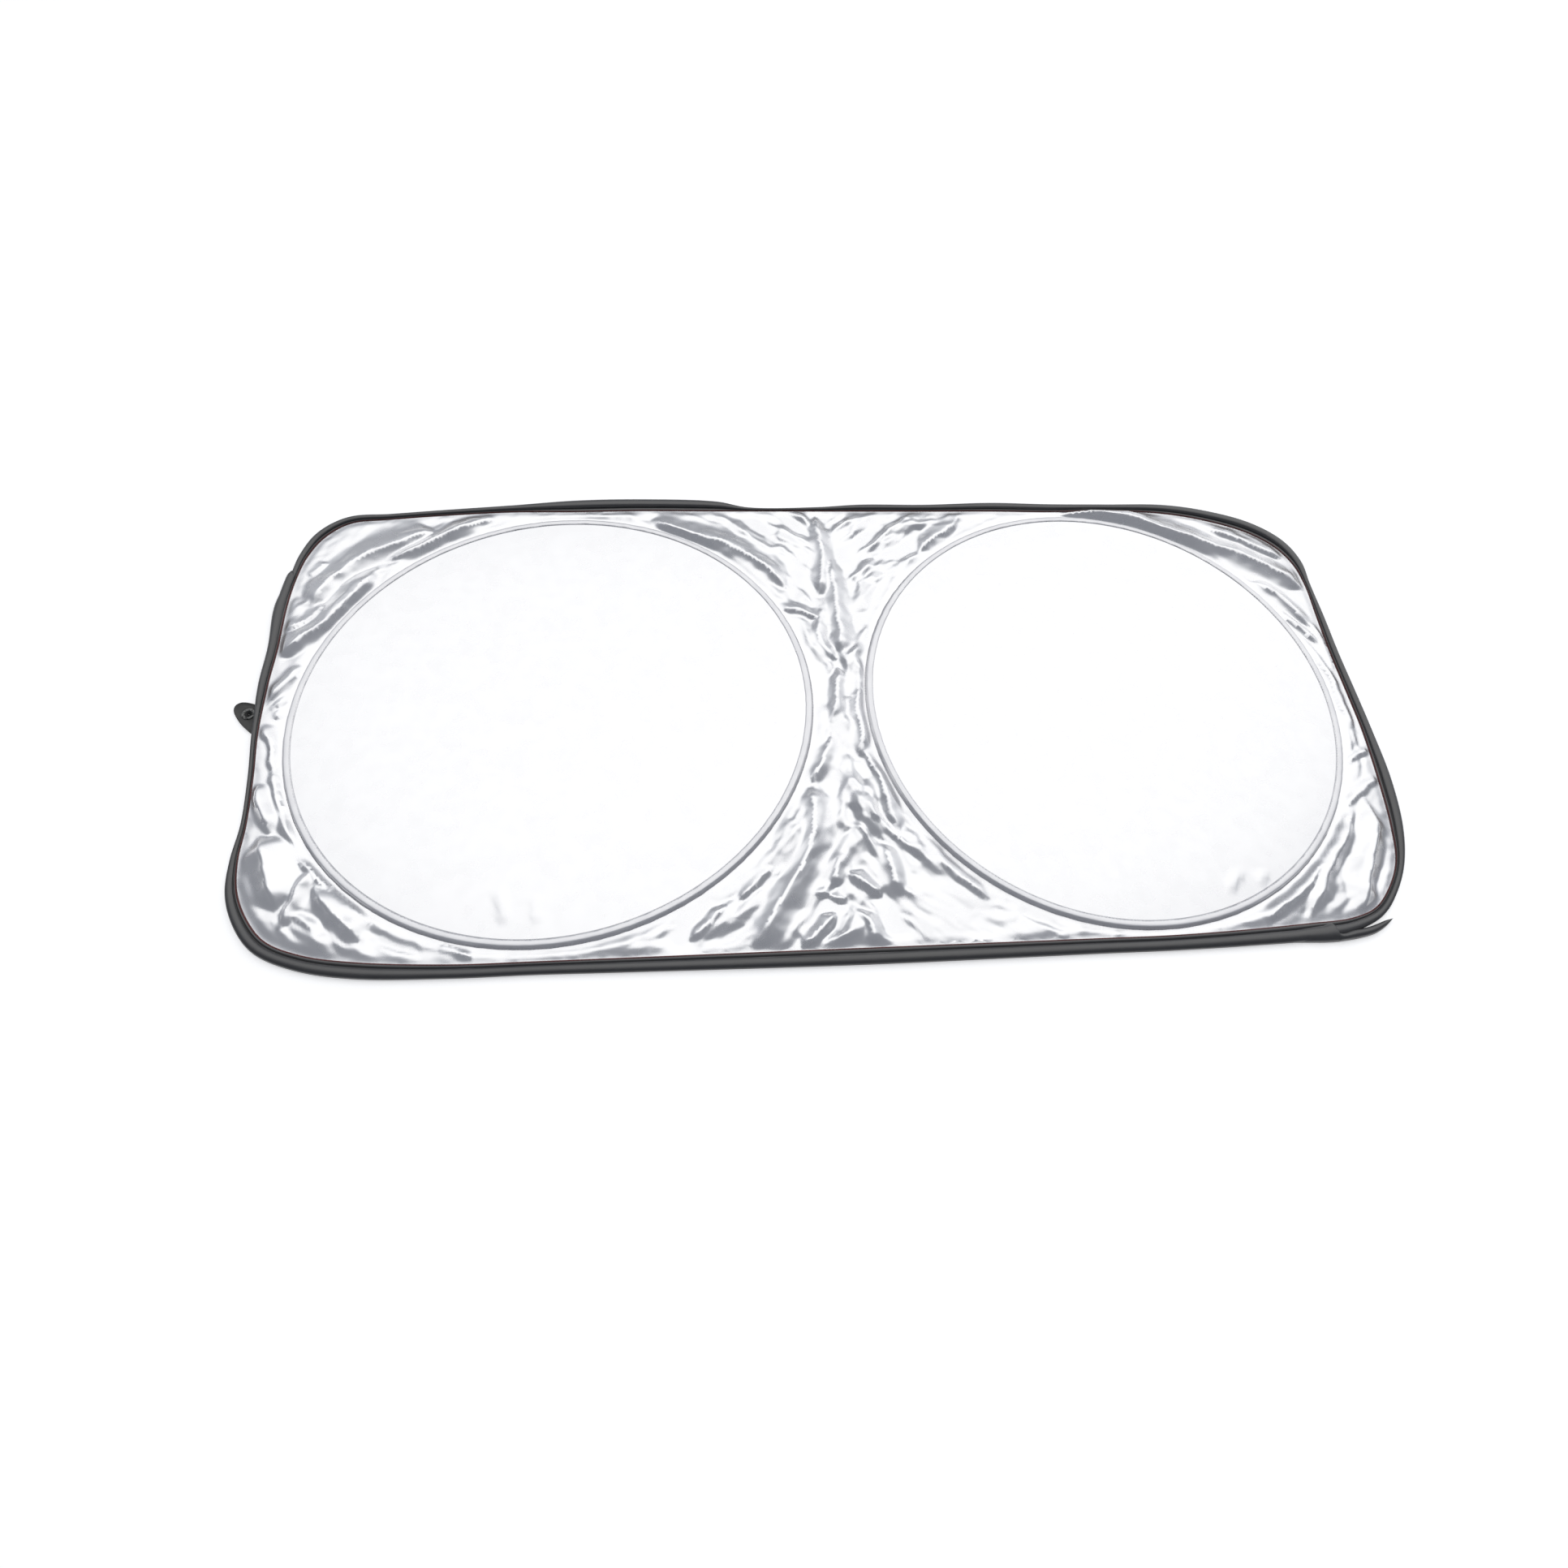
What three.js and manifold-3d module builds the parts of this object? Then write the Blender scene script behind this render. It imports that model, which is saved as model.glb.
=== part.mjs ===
// A twist-and-fold windscreen sunshade, laid out flat and seen from above: a thin silver-coated
// cloth, two sprung wire hoops in sewn casings, a folded tape round the edge, and a tab with an eyelet.
// Millimetres, +Z up. The underside of the cloth inside the hoops lies on z = 0.
import * as THREE from "three";
import { mergeVertices } from "three/addons/utils/BufferGeometryUtils.js";
import Module from "manifold-3d";

const wasm = await Module();
wasm.setup();

// Gap kept between pieces that touch
const clearance = 0.3;

// Points closer than this are one point, and a line closer than this to the middle lies on it
const sameSpot = 1e-4;
const onLine = 1e-6;

// Hoops: the mean circle of each wire, and how far the cloth's pull draws it out of round
const hoopDiameter = 622;
const hoopOval = 11;
const leftHoopTurn = 19;
const rightHoopTurn = 54.5;
const hoopGap = 80;
const wireDiameter = 2.5;
const wireSides = 6;
const hoopSegments = 48;

// Crimp sleeve that joins the two ends of a wire
const ferruleLength = 22;
const ferruleWall = 0.45;
const ferruleSides = 12;

// Cloth casing sewn over each wire
const casingWidth = 10;
const casingCloth = 0.6;
const casingHem = 0.7;

// Silver cloth, and how far it reaches past the mean circle of a hoop at the top and the bottom
const clothThickness = 0.8;
const topMargin = 20;
const bottomMargin = 13.5;

// How the cloth is faceted: flat strip beside a casing, the run over which folds die out at casing and
// tape, the share of a fold that tapers at each end, and the spacing of points, rays and stations
const casingFlat = 1.5;
const foldFade = 9;
const foldTaper = 0.25;
const foldSteps = 10;
const crestSpacing = 3.5;
const meshStep = 12;
const centreRays = 20;
const stationsPerPoint = 2;

// Folded tape round the edge. Its section bulges at the fold: how far out and how high, in shares of its
// width and puff
const tapeWidth = 12;
const tapeCloth = 0.6;
const tapePuff = 1.6;
const tapeFoldWall = 0.9;
const tapeFlatShare = 0.8;
const tapeShoulderShare = 0.94;
const tapeCrownShare = 0.6;
const tapeSlopeShare = 0.25;
const tapeNoseRise = 0.8;

// Free end of the tape at the lower right corner
const tailAngle = -55;
const tailLength = 35;
const tailRoot = 21;
const tailWidth = 8;
const tailRootWidth = 3;
const tailTurn = 24;
const tailCurveSteps = 5;

// Tab behind the left edge, and its eyelet
const tabReach = 29;
const tabTipRadius = 8;
const tabHeight = 45;
const tabAbove = 9;
const tabCrest = 3;
const tabTuck = 6;
const tabAngle = 180.5;
const tabThickness = 1.2;
const tabLiftFade = 60;
const tabCurveSteps = 8;
const eyeletHole = 9;
const eyeletFlange = 16;
const eyeletMetal = 0.5;
const eyeletSides = 20;
const eyeletFromTape = 10;
const eyeletDrop = 4;

// Worked-out sizes
const hoopRadius = hoopDiameter / 2;
const hoopX = (hoopDiameter + hoopGap) / 2;
const topLine = hoopRadius + topMargin;
const bottomLine = -(hoopRadius + bottomMargin);
const ferruleRadius = wireDiameter / 2 + clearance + ferruleWall;
const wireHeight = clothThickness + clearance + ferruleRadius;
const tapeSlot = clothThickness + 2 * clearance;
const degrees = THREE.MathUtils.degToRad;
const smooth = (t) => THREE.MathUtils.smoothstep(t, 0, 1);

const leftHoop = { x: -hoopX, turn: degrees(leftHoopTurn) };
const rightHoop = { x: hoopX, turn: degrees(rightHoopTurn) };
const hoopLong = hoopRadius + hoopOval / 2;
const hoopShort = hoopRadius - hoopOval / 2;

// Distance from a hoop's middle to its wire, in one direction
function hoopReach(hoop, angle) {
  const around = angle - hoop.turn;
  return (hoopLong * hoopShort) / Math.hypot(hoopShort * Math.cos(around), hoopLong * Math.sin(around));
}

function fromHoop(hoop, angle, distance) {
  return new THREE.Vector2(hoop.x + distance * Math.cos(angle), distance * Math.sin(angle));
}

// The seam between cloth and tape. Each row is a direction from the middle of the nearer hoop, how far
// the cloth reaches past the hoop's mean circle there, and how wide the tape puffs out, in tape widths.
const leftSeam = [
  [75, 32, 1.75], [90, 18, 1.7], [105, 29, 1.0], [120, 60, 0.8], [129, 93, 0.8], [135, 122, 1.0],
  [140, 126, 1.1], [145, 117, 0.9], [150, 101, 0.75], [156, 81, 1.25], [165, 56, 1.0], [175, 42, 0.9],
  [185, 38, 0.6], [195, 41, 0.5], [205, 56, 0.5], [211, 75, 0.7], [216, 88, 1.0], [221, 94, 1.2],
  [226, 94, 1.3], [232, 80, 1.4], [240, 56, 1.5], [255, 24.5, 1.3], [270, 13.5, 1.25], [285, 25, 1.35],
];
const rightSeam = [
  [-105, 25, 1.5], [-90, 13.5, 1.5], [-75, 22, 1.6], [-62, 48, 1.7], [-55, 71, 1.15], [-50, 83, 0.85],
  [-45, 84, 0.8], [-39, 79, 0.8], [-32, 63, 1.2], [-22, 43, 1.35], [-10, 31, 1.05], [0, 28.5, 1.0],
  [10, 36, 0.95], [20, 58, 0.85], [28, 87, 0.65], [33, 103, 1.2], [38, 109, 1.6], [44, 103, 1.7],
  [52, 84, 1.6], [61, 62, 1.4], [75, 33, 1.0], [90, 19, 1.2], [105, 32, 1.3],
];
const topSeam = [
  { x: 0.46, share: 1.0 }, { x: 0.18, share: 1.0 }, { x: 0, share: 0.6 },
  { x: -0.29, share: 0.55 }, { x: -0.42, share: 1.45 },
];
const bottomMiddleShare = 1.6;

function seamRow(hoop, [angle, beyond, share]) {
  const place = fromHoop(hoop, degrees(angle), hoopRadius + beyond);
  return new THREE.Vector3(place.x, place.y, share);
}

// Anticlockwise from above the left hoop, with the tape's share of its width as the third number
const seamPoints = [
  ...leftSeam.map((row) => seamRow(leftHoop, row)),
  new THREE.Vector3(0, bottomLine, bottomMiddleShare),
  ...rightSeam.map((row) => seamRow(rightHoop, row)),
  ...topSeam.map(({ x, share }) => new THREE.Vector3(x * hoopX, topLine, share)),
];
const seamCurve = new THREE.CatmullRomCurve3(seamPoints, true, "centripetal");
const seam = seamCurve.getPoints(seamPoints.length * stationsPerPoint).slice(0, -1);
const narrowestTape = tapeWidth * Math.min(...seam.map((point) => point.z));
const slotDepth = narrowestTape - tapeFoldWall;
const clothTuck = slotDepth - 2 * clearance;

const seamMiddle = seam.map((point) => new THREE.Vector2(point.x, point.y));
const seamOutward = seamMiddle.map((point, i) => {
  const before = seamMiddle[(i + seamMiddle.length - 1) % seamMiddle.length];
  const after = seamMiddle[(i + 1) % seamMiddle.length];
  const along = after.clone().sub(before).normalize();
  return new THREE.Vector2(along.y, -along.x);
});

function toSegment(point, start, end) {
  const along = end.clone().sub(start);
  const t = THREE.MathUtils.clamp(point.clone().sub(start).dot(along) / along.lengthSq(), 0, 1);
  return { t, distance: point.distanceTo(start.clone().addScaledVector(along, t)) };
}

function toSeam(point) {
  return Math.min(
    ...seamMiddle.map((start, i) => toSegment(point, start, seamMiddle[(i + 1) % seamMiddle.length]).distance),
  );
}

// The first row of a seam at or past a direction
function seamRowAt(rows, direction) {
  const [, beyond, share] = rows.find(([angle]) => angle >= direction);
  return { beyond, share };
}

// The tab lies on its eyelet, and the edge of the shade is lifted a little where the tab lies under it
const tabSeam = seamRowAt(leftSeam, tabAngle);
const tabRoot = fromHoop(leftHoop, degrees(tabAngle), hoopRadius + tabSeam.beyond);
const tabFloor = eyeletMetal + clearance;
const tabLift = tabFloor + tabThickness + clearance;

function edgeLift(point) {
  const away = point.distanceTo(tabRoot) - (tabHeight - tabAbove);
  return tabLift * (1 - smooth(THREE.MathUtils.clamp(away / tabLiftFade, 0, 1)));
}

// Main folds of the cloth, each a crest line in hoop radii from the middle of the shade. The steep face
// lies to the right of the line's direction. Height, steep run and gentle run are in millimetres.
const folds = [
  fold(9, 12, 24, [[-2.25, 0.24], [-2.14, 0.36], [-2.03, 0.53], [-1.94, 0.72]]),
  fold(8, 17, 24, [[-2.19, 0.47], [-2.08, 0.7], [-1.91, 0.84], [-1.72, 0.94]]),
  fold(5, 8, 14, [[-2.27, 0.37], [-2.18, 0.43], [-2.11, 0.55]]),
  fold(7, 11, 17, [[-1.93, 0.76], [-1.77, 0.84], [-1.66, 0.91], [-1.49, 1.02]]),
  fold(5, 8, 12, [[-2.25, 0.01], [-2.19, 0.12], [-2.13, 0.21]]),
  fold(6, 9, 14, [[-2.17, -0.2], [-2.12, -0.36], [-2.06, -0.49], [-1.99, -0.61]]),
  fold(6, 9, 14, [[-2.22, -0.33], [-2.17, -0.42], [-2.1, -0.55]]),
  fold(10, 20, 22, [[-2.14, -0.54], [-2.08, -0.68], [-2.01, -0.84]]),
  fold(6, 9, 12, [[-1.93, -0.66], [-1.97, -0.8], [-2.0, -0.9]]),
  fold(8, 12, 18, [[-1.92, -0.74], [-1.85, -0.83], [-1.78, -0.89], [-1.69, -0.96]]),
  fold(5, 8, 12, [[-2.0, -0.63], [-1.84, -0.78], [-1.69, -0.9]]),
  fold(3, 6, 8, [[-1.46, -0.97], [-1.34, -1.03]]),
  fold(8, 14, 22, [[-0.8, 1.01], [-0.6, 0.91], [-0.45, 0.84], [-0.32, 0.76], [-0.15, 0.57]]),
  fold(5, 8, 12, [[-0.21, 0.51], [-0.05, 0.43]]),
  fold(8, 10, 14, [[-0.01, 1.05], [-0.01, 0.86], [-0.01, 0.69], [-0.04, 0.54]]),
  fold(7, 9, 14, [[0.03, 0.77], [0.04, 0.55], [0.04, 0.35], [0.06, 0.24]]),
  fold(5, 7, 10, [[-0.01, 0.53], [-0.05, 0.35], [-0.02, 0.24], [0.03, 0.19]]),
  fold(6, 9, 12, [[0.02, 0.17], [0.0, 0.03], [-0.04, -0.13]]),
  fold(5, 8, 10, [[0.07, 0.22], [0.12, 0.11], [0.08, -0.05], [0.09, -0.17], [0.06, -0.29]]),
  fold(6, 9, 14, [[0.44, 0.8], [0.5, 0.86], [0.6, 0.94], [0.69, 1.04]]),
  fold(5, 9, 10, [[-0.03, -0.15], [-0.08, -0.3], [-0.13, -0.39]]),
  fold(9, 16, 18, [[-0.15, -0.4], [-0.13, -0.52], [-0.19, -0.72], [-0.29, -0.88], [-0.4, -1.03]]),
  fold(7, 10, 12, [[0.09, -0.24], [0.13, -0.39], [0.16, -0.52], [0.18, -0.63]]),
  fold(7, 12, 12, [[0.1, -0.64], [0.14, -0.75], [0.16, -0.86]]),
  fold(7, 10, 10, [[-0.02, -0.75], [0.04, -0.8], [0.1, -0.86]]),
  fold(5, 7, 9, [[-0.05, -0.69], [-0.08, -0.81]]),
  fold(6, 9, 12, [[-0.23, -1.04], [-0.15, -0.98], [-0.08, -0.9]]),
  fold(6, 8, 12, [[0.0, -0.91], [0.03, -0.98], [0.04, -1.04]]),
  fold(4, 7, 10, [[-0.62, -1.0], [-0.54, -0.94], [-0.47, -0.86]]),
  fold(4, 6, 9, [[-0.43, -0.86], [-0.36, -0.79], [-0.3, -0.72]]),
  fold(4, 7, 10, [[0.29, -0.7], [0.37, -0.78], [0.49, -0.88]]),
  fold(9, 15, 22, [[1.19, 1.05], [1.45, 1.03], [1.62, 0.96], [1.84, 0.84], [2.06, 0.71], [2.22, 0.59]]),
  fold(6, 10, 14, [[1.86, 0.97], [2.05, 0.84], [2.2, 0.75]]),
  fold(6, 9, 12, [[2.0, 0.63], [2.11, 0.49], [2.2, 0.33]]),
  fold(4, 8, 8, [[2.19, 0.1], [2.19, -0.01], [2.17, -0.14]]),
  fold(8, 15, 12, [[2.14, -0.38], [2.12, -0.55], [2.05, -0.7], [1.97, -0.84]]),
  fold(8, 10, 16, [[1.7, -0.97], [1.81, -0.87], [1.9, -0.77], [2.02, -0.62]]),
  fold(6, 8, 12, [[1.49, -1.01], [1.57, -0.95], [1.72, -0.87], [1.87, -0.74]]),
];

function fold(height, steep, gentle, crest) {
  const points = crest.map(([x, y]) => new THREE.Vector2(x * hoopRadius, y * hoopRadius));
  return { height, steep, gentle, line: new THREE.SplineCurve(points).getPoints(foldSteps) };
}

// Height of one fold over a point: full along the crest, tapered at its ends
function foldHeight({ height, steep, gentle, line }, point) {
  let nearest = { distance: Infinity };
  for (let i = 0; i + 1 < line.length; i += 1) {
    const found = toSegment(point, line[i], line[i + 1]);
    if (found.distance < nearest.distance) nearest = { ...found, i };
  }
  const { distance, t, i } = nearest;
  const side = line[i + 1].clone().sub(line[i]).cross(point.clone().sub(line[i]));
  const run = side < 0 ? steep : gentle;
  const share = (i + t) / (line.length - 1);
  const taper = smooth(Math.min(1, share / foldTaper, (1 - share) / foldTaper));
  return height * taper * smooth(THREE.MathUtils.clamp(1 - distance / run, 0, 1));
}

// Underside of the cloth: flat inside the hoops and under the casings, raised to the tape's slot at the
// seam, and lifted by the folds between them
function clothUnderside(point) {
  const hoop = point.x < 0 ? leftHoop : rightHoop;
  const dx = point.x - hoop.x;
  const fromWire = Math.hypot(dx, point.y) - hoopReach(hoop, Math.atan2(point.y, dx));
  const past = fromWire - casingWidth / 2 - casingFlat;
  if (past <= 0) return 0;
  const toTape = toSeam(point);
  const rise = smooth(past / (past + toTape)) * (edgeLift(point) + tapeCloth + clearance);
  const fade = smooth(Math.min(1, Math.min(past, toTape) / foldFade));
  return rise + fade * Math.max(0, ...folds.map((each) => foldHeight(each, point)));
}

// Rays over the cloth from the middle of one hoop: one to each seam station of its half, and a fan to
// the line half way between the hoops, which both halves share
function hoopRays(hoop) {
  const middle = new THREE.Vector2(hoop.x, 0);
  const half = Math.sign(hoop.x);
  const toEdge = seamMiddle
    .map((end, i) => ({ end, outward: seamOutward[i] }))
    .filter(({ end }) => end.x * half >= -onLine);
  const onCentre = toEdge.filter(({ end }) => Math.abs(end.x) < onLine).map(({ end }) => end.y);
  const low = Math.min(...onCentre);
  const high = Math.max(...onCentre);
  const toCentre = [];
  for (let i = 1; i < centreRays; i += 1) {
    toCentre.push({ end: new THREE.Vector2(0, low + ((high - low) * i) / centreRays) });
  }
  const rays = [...toEdge, ...toCentre];
  for (const ray of rays) ray.angle = ray.end.clone().sub(middle).angle();
  return rays.sort((a, b) => a.angle - b.angle).map((ray) => ({ ...ray, hoop, middle }));
}

// Where the line from start to end crosses the line from a to b, as a share of its length
function crossing(start, end, a, b) {
  const along = end.clone().sub(start);
  const across = b.clone().sub(a);
  const turn = along.cross(across);
  if (turn === 0) return null;
  const offset = a.clone().sub(start);
  const t = offset.cross(across) / turn;
  const s = offset.cross(along) / turn;
  return s >= 0 && s <= 1 && t > 0 && t < 1 ? t : null;
}

// Points along one ray: the middle of the hoop, the outside of the casing, even steps with a point on
// each crest that the ray crosses, then the seam
function rayChain(ray) {
  const start = fromHoop(ray.hoop, ray.angle, hoopReach(ray.hoop, ray.angle) + casingWidth / 2 + casingFlat);
  const length = start.distanceTo(ray.end);
  const steps = Math.max(2, Math.round(length / meshStep));
  const crests = [];
  for (const { line } of folds) {
    for (let i = 0; i + 1 < line.length; i += 1) {
      const t = crossing(start, ray.end, line[i], line[i + 1]);
      const clear = t !== null && crests.every((other) => Math.abs(other - t) * length > crestSpacing);
      if (clear && t * length > crestSpacing && (1 - t) * length > crestSpacing) crests.push(t);
    }
  }
  const even = [];
  for (let i = 1; i < steps; i += 1) {
    const t = i / steps;
    if (crests.every((crest) => Math.abs(crest - t) * length > crestSpacing)) even.push(t);
  }
  const between = [...crests, ...even].sort((a, b) => a - b);
  const flat = [start, ...between.map((t) => start.clone().lerp(ray.end, t)), ray.end];
  const chain = flat.map((point) => new THREE.Vector3(point.x, point.y, clothUnderside(point)));
  return [new THREE.Vector3(ray.middle.x, ray.middle.y, 0), ...chain];
}

// The raw edge of the cloth, level inside the tape
function tuckedEdge(ray, seamPoint) {
  const edge = ray.end.clone().addScaledVector(ray.outward, clothTuck);
  return new THREE.Vector3(edge.x, edge.y, seamPoint.z);
}

// Triangles between two neighbouring chains that start at the same point
function zip(a, b) {
  const triangles = [[a[0], a[1], b[1]]];
  let i = 1;
  let j = 1;
  while (i < a.length - 1 || j < b.length - 1) {
    const canA = i < a.length - 1;
    const canB = j < b.length - 1;
    if (canA && (!canB || a[i + 1].distanceTo(b[j]) <= a[i].distanceTo(b[j + 1]))) {
      triangles.push([a[i], a[i + 1], b[j]]);
      i += 1;
    } else {
      triangles.push([a[i], b[j + 1], b[j]]);
      j += 1;
    }
  }
  return triangles;
}

function trianglesGeometry(triangles) {
  const geometry = new THREE.BufferGeometry().setFromPoints(triangles.flat());
  const merged = mergeVertices(geometry, sameSpot);
  merged.computeVertexNormals();
  return merged;
}

function clothGeometry() {
  const triangles = [];
  const raised = (point) => new THREE.Vector3(point.x, point.y, point.z + clothThickness);
  for (const hoop of [leftHoop, rightHoop]) {
    const rays = hoopRays(hoop);
    const chains = rays.map(rayChain);
    rays.forEach((ray, i) => {
      const next = (i + 1) % rays.length;
      const patch = zip(chains[i], chains[next]);
      if (ray.outward && rays[next].outward) {
        const [a, b] = [chains[i].at(-1), chains[next].at(-1)];
        const [c, d] = [tuckedEdge(ray, a), tuckedEdge(rays[next], b)];
        patch.push([a, c, d], [a, d, b]);
        triangles.push([c, d, raised(d)], [c, raised(d), raised(c)]);
      }
      for (const [a, b, c] of patch) {
        triangles.push([c, b, a], [raised(a), raised(b), raised(c)]);
      }
    });
  }
  return trianglesGeometry(triangles);
}

// One closed skin through equal sections set round a closed line
function loopGeometry(sections) {
  const triangles = [];
  sections.forEach((section, i) => {
    const next = sections[(i + 1) % sections.length];
    section.forEach((point, j) => {
      const k = (j + 1) % section.length;
      triangles.push([point, next[j], section[k]], [section[k], next[j], next[k]]);
    });
  });
  return trianglesGeometry(triangles);
}

// The tape's section at one seam station, open towards the cloth: the lower leaf, the rounded fold, the
// puffed upper leaf, then the slot that holds the edge of the cloth
function tapeSection(i) {
  const width = tapeWidth * seam[i].z;
  const floor = edgeLift(seamMiddle[i]);
  const slotFloor = floor + tapeCloth;
  const slotRoof = slotFloor + tapeSlot;
  const leaf = slotRoof + tapeCloth;
  const crown = leaf + tapePuff * seam[i].z;
  const middle = (floor + crown) / 2;
  const profile = [
    [0, floor], [tapeFlatShare * width, floor], [width, middle - tapeNoseRise],
    [tapeShoulderShare * width, middle + tapeNoseRise], [tapeCrownShare * width, crown],
    [tapeSlopeShare * width, (leaf + crown) / 2], [0, leaf], [0, slotRoof],
    [slotDepth, slotRoof], [slotDepth, slotFloor], [0, slotFloor],
  ];
  return profile.map(([out, height]) => {
    const place = seamMiddle[i].clone().addScaledVector(seamOutward[i], out);
    return new THREE.Vector3(place.x, place.y, height);
  });
}

function toManifold(geometry) {
  const bare = geometry.clone();
  for (const name of ["normal", "uv"]) bare.deleteAttribute(name);
  const merged = mergeVertices(bare, sameSpot);
  const vertProperties = new Float32Array(merged.attributes.position.array);
  const triVerts = new Uint32Array(merged.index.array);
  return new wasm.Manifold(new wasm.Mesh({ numProp: 3, vertProperties, triVerts }));
}

function fromManifold(solid) {
  const { vertProperties, triVerts } = solid.getMesh();
  const geometry = new THREE.BufferGeometry();
  geometry.setAttribute("position", new THREE.BufferAttribute(vertProperties, 3));
  geometry.setIndex(new THREE.BufferAttribute(triVerts, 1));
  geometry.computeVertexNormals();
  return geometry;
}

// The free end of the tape: it leaves the lower right corner along the tape and comes to a point
function tailGeometry() {
  const spot = fromHoop(rightHoop, degrees(tailAngle), hoopRadius + seamRowAt(rightSeam, tailAngle).beyond);
  const away = seamMiddle.map((point) => point.distanceTo(spot));
  const i = away.indexOf(Math.min(...away));
  const outer = spot.clone().addScaledVector(seamOutward[i], tapeWidth * seam[i].z);
  const shape = new THREE.Shape();
  shape.moveTo(-tailRoot, tailRootWidth / 3);
  shape.quadraticCurveTo(tailLength / 3, 0, tailLength, tailWidth / 2);
  shape.quadraticCurveTo(tailLength / 2, (tailWidth * 3) / 4, tailLength / 3, tailWidth);
  shape.lineTo(-tailRoot, tailRootWidth);
  const geometry = new THREE.ExtrudeGeometry(shape, {
    depth: tapeSlot + tapeCloth,
    bevelEnabled: false,
    curveSegments: tailCurveSteps,
  });
  geometry.rotateZ(degrees(tailTurn));
  geometry.translate(outer.x, outer.y, tapeCloth / 2);
  return geometry;
}

function bindingGeometry() {
  const loop = toManifold(loopGeometry(seam.map((_, i) => tapeSection(i))));
  return fromManifold(loop.add(toManifold(tailGeometry())));
}

// Casing over a wire: two hems flat on the cloth and an arch between them, open underneath
const archInside = ferruleRadius + clearance;
const casingFloor = clothThickness + clearance;
const archTop = wireHeight + ferruleRadius + clearance;

function casingGeometry() {
  const half = casingWidth / 2;
  const hem = casingFloor + casingHem;
  const corner = archInside * Math.tan(Math.PI / 8);
  const outside = archInside + casingCloth;
  const top = archTop + casingCloth;
  const profile = [
    [-half, casingFloor], [-archInside, casingFloor], [-archInside, wireHeight + corner],
    [-corner, archTop], [corner, archTop], [archInside, wireHeight + corner],
    [archInside, casingFloor], [half, casingFloor], [half, hem], [outside, hem],
    [outside, wireHeight + corner], [corner, top],
    [-corner, top], [-outside, wireHeight + corner],
    [-outside, hem], [-half, hem], [-half, casingFloor],
  ];
  const points = profile.map(([out, height]) => new THREE.Vector2(hoopRadius + out, height));
  return new THREE.LatheGeometry(points, hoopSegments).rotateX(Math.PI / 2);
}

function hoopPiece(hoop, geometry, name, material) {
  const mesh = new THREE.Mesh(geometry, material);
  mesh.name = name;
  mesh.scale.set(hoopLong / hoopRadius, hoopShort / hoopRadius, 1);
  const turned = new THREE.Group();
  turned.position.set(hoop.x, 0, 0);
  turned.rotation.z = hoop.turn;
  turned.add(mesh);
  return turned;
}

// The sleeve sits on the middle of a wire segment, where the wire runs straight through it
function ferrulePiece(hoop, name, material) {
  const outside = ferruleRadius;
  const inside = wireDiameter / 2 + clearance;
  const half = ferruleLength / 2;
  const profile = [[inside, -half], [outside, -half], [outside, half], [inside, half], [inside, -half]];
  const points = profile.map(([radius, along]) => new THREE.Vector2(radius, along));
  const mesh = new THREE.Mesh(new THREE.LatheGeometry(points, ferruleSides), material);
  mesh.name = name;
  const step = (2 * Math.PI) / hoopSegments;
  const segment = Math.round((1.5 * Math.PI - hoop.turn) / step);
  const ends = [segment, segment + 1].map(
    (k) => new THREE.Vector2(hoopLong * Math.cos(k * step), hoopShort * Math.sin(k * step)),
  );
  const middle = ends[0].clone().lerp(ends[1], 0.5);
  mesh.position.set(middle.x, middle.y, wireHeight);
  mesh.rotation.z = ends[1].clone().sub(ends[0]).angle() - Math.PI / 2;
  const turned = new THREE.Group();
  turned.position.set(hoop.x, 0, 0);
  turned.rotation.z = hoop.turn;
  turned.add(mesh);
  return turned;
}

// Tab: its root lies under the tape, its rounded tip points away from the shade
const tabEdge = tabRoot.x - tapeWidth * tabSeam.share;
const tabTip = tabEdge - tabReach;
const eyeletX = tabEdge - eyeletFromTape;
const eyeletY = tabRoot.y - eyeletDrop;

function tabGeometry() {
  const top = tabRoot.y + tabAbove;
  const bottom = top - tabHeight;
  const root = tabEdge + tabTuck;
  const tipMiddle = tabTip + tabTipRadius;
  const shape = new THREE.Shape();
  shape.moveTo(root, bottom);
  shape.lineTo(root, top - tabCrest);
  shape.quadraticCurveTo(tabEdge - tabTipRadius, top + 2 * tabCrest, tipMiddle, top + tabCrest);
  shape.absarc(tipMiddle, top + tabCrest - tabTipRadius, tabTipRadius, 0.5 * Math.PI, 1.2 * Math.PI);
  shape.quadraticCurveTo((tipMiddle + tabEdge) / 2, bottom + tabTipRadius, root, bottom);
  const hole = new THREE.Path();
  hole.absarc(eyeletX, eyeletY, eyeletHole / 2 + eyeletMetal + clearance, 0, 2 * Math.PI, true);
  shape.holes.push(hole);
  return new THREE.ExtrudeGeometry(shape, {
    depth: tabThickness,
    bevelEnabled: false,
    curveSegments: tabCurveSteps,
  });
}

function eyeletGeometry() {
  const bore = eyeletHole / 2;
  const barrel = bore + eyeletMetal;
  const flange = eyeletFlange / 2;
  const lower = eyeletMetal;
  const upper = tabFloor + tabThickness + clearance;
  const profile = [
    [bore, 0], [flange, 0], [flange, lower], [barrel, lower], [barrel, upper], [flange, upper],
    [flange, upper + eyeletMetal], [bore, upper + eyeletMetal], [bore, 0],
  ];
  const points = profile.map(([radius, height]) => new THREE.Vector2(radius, height));
  return new THREE.LatheGeometry(points, eyeletSides).rotateX(Math.PI / 2);
}

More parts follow.
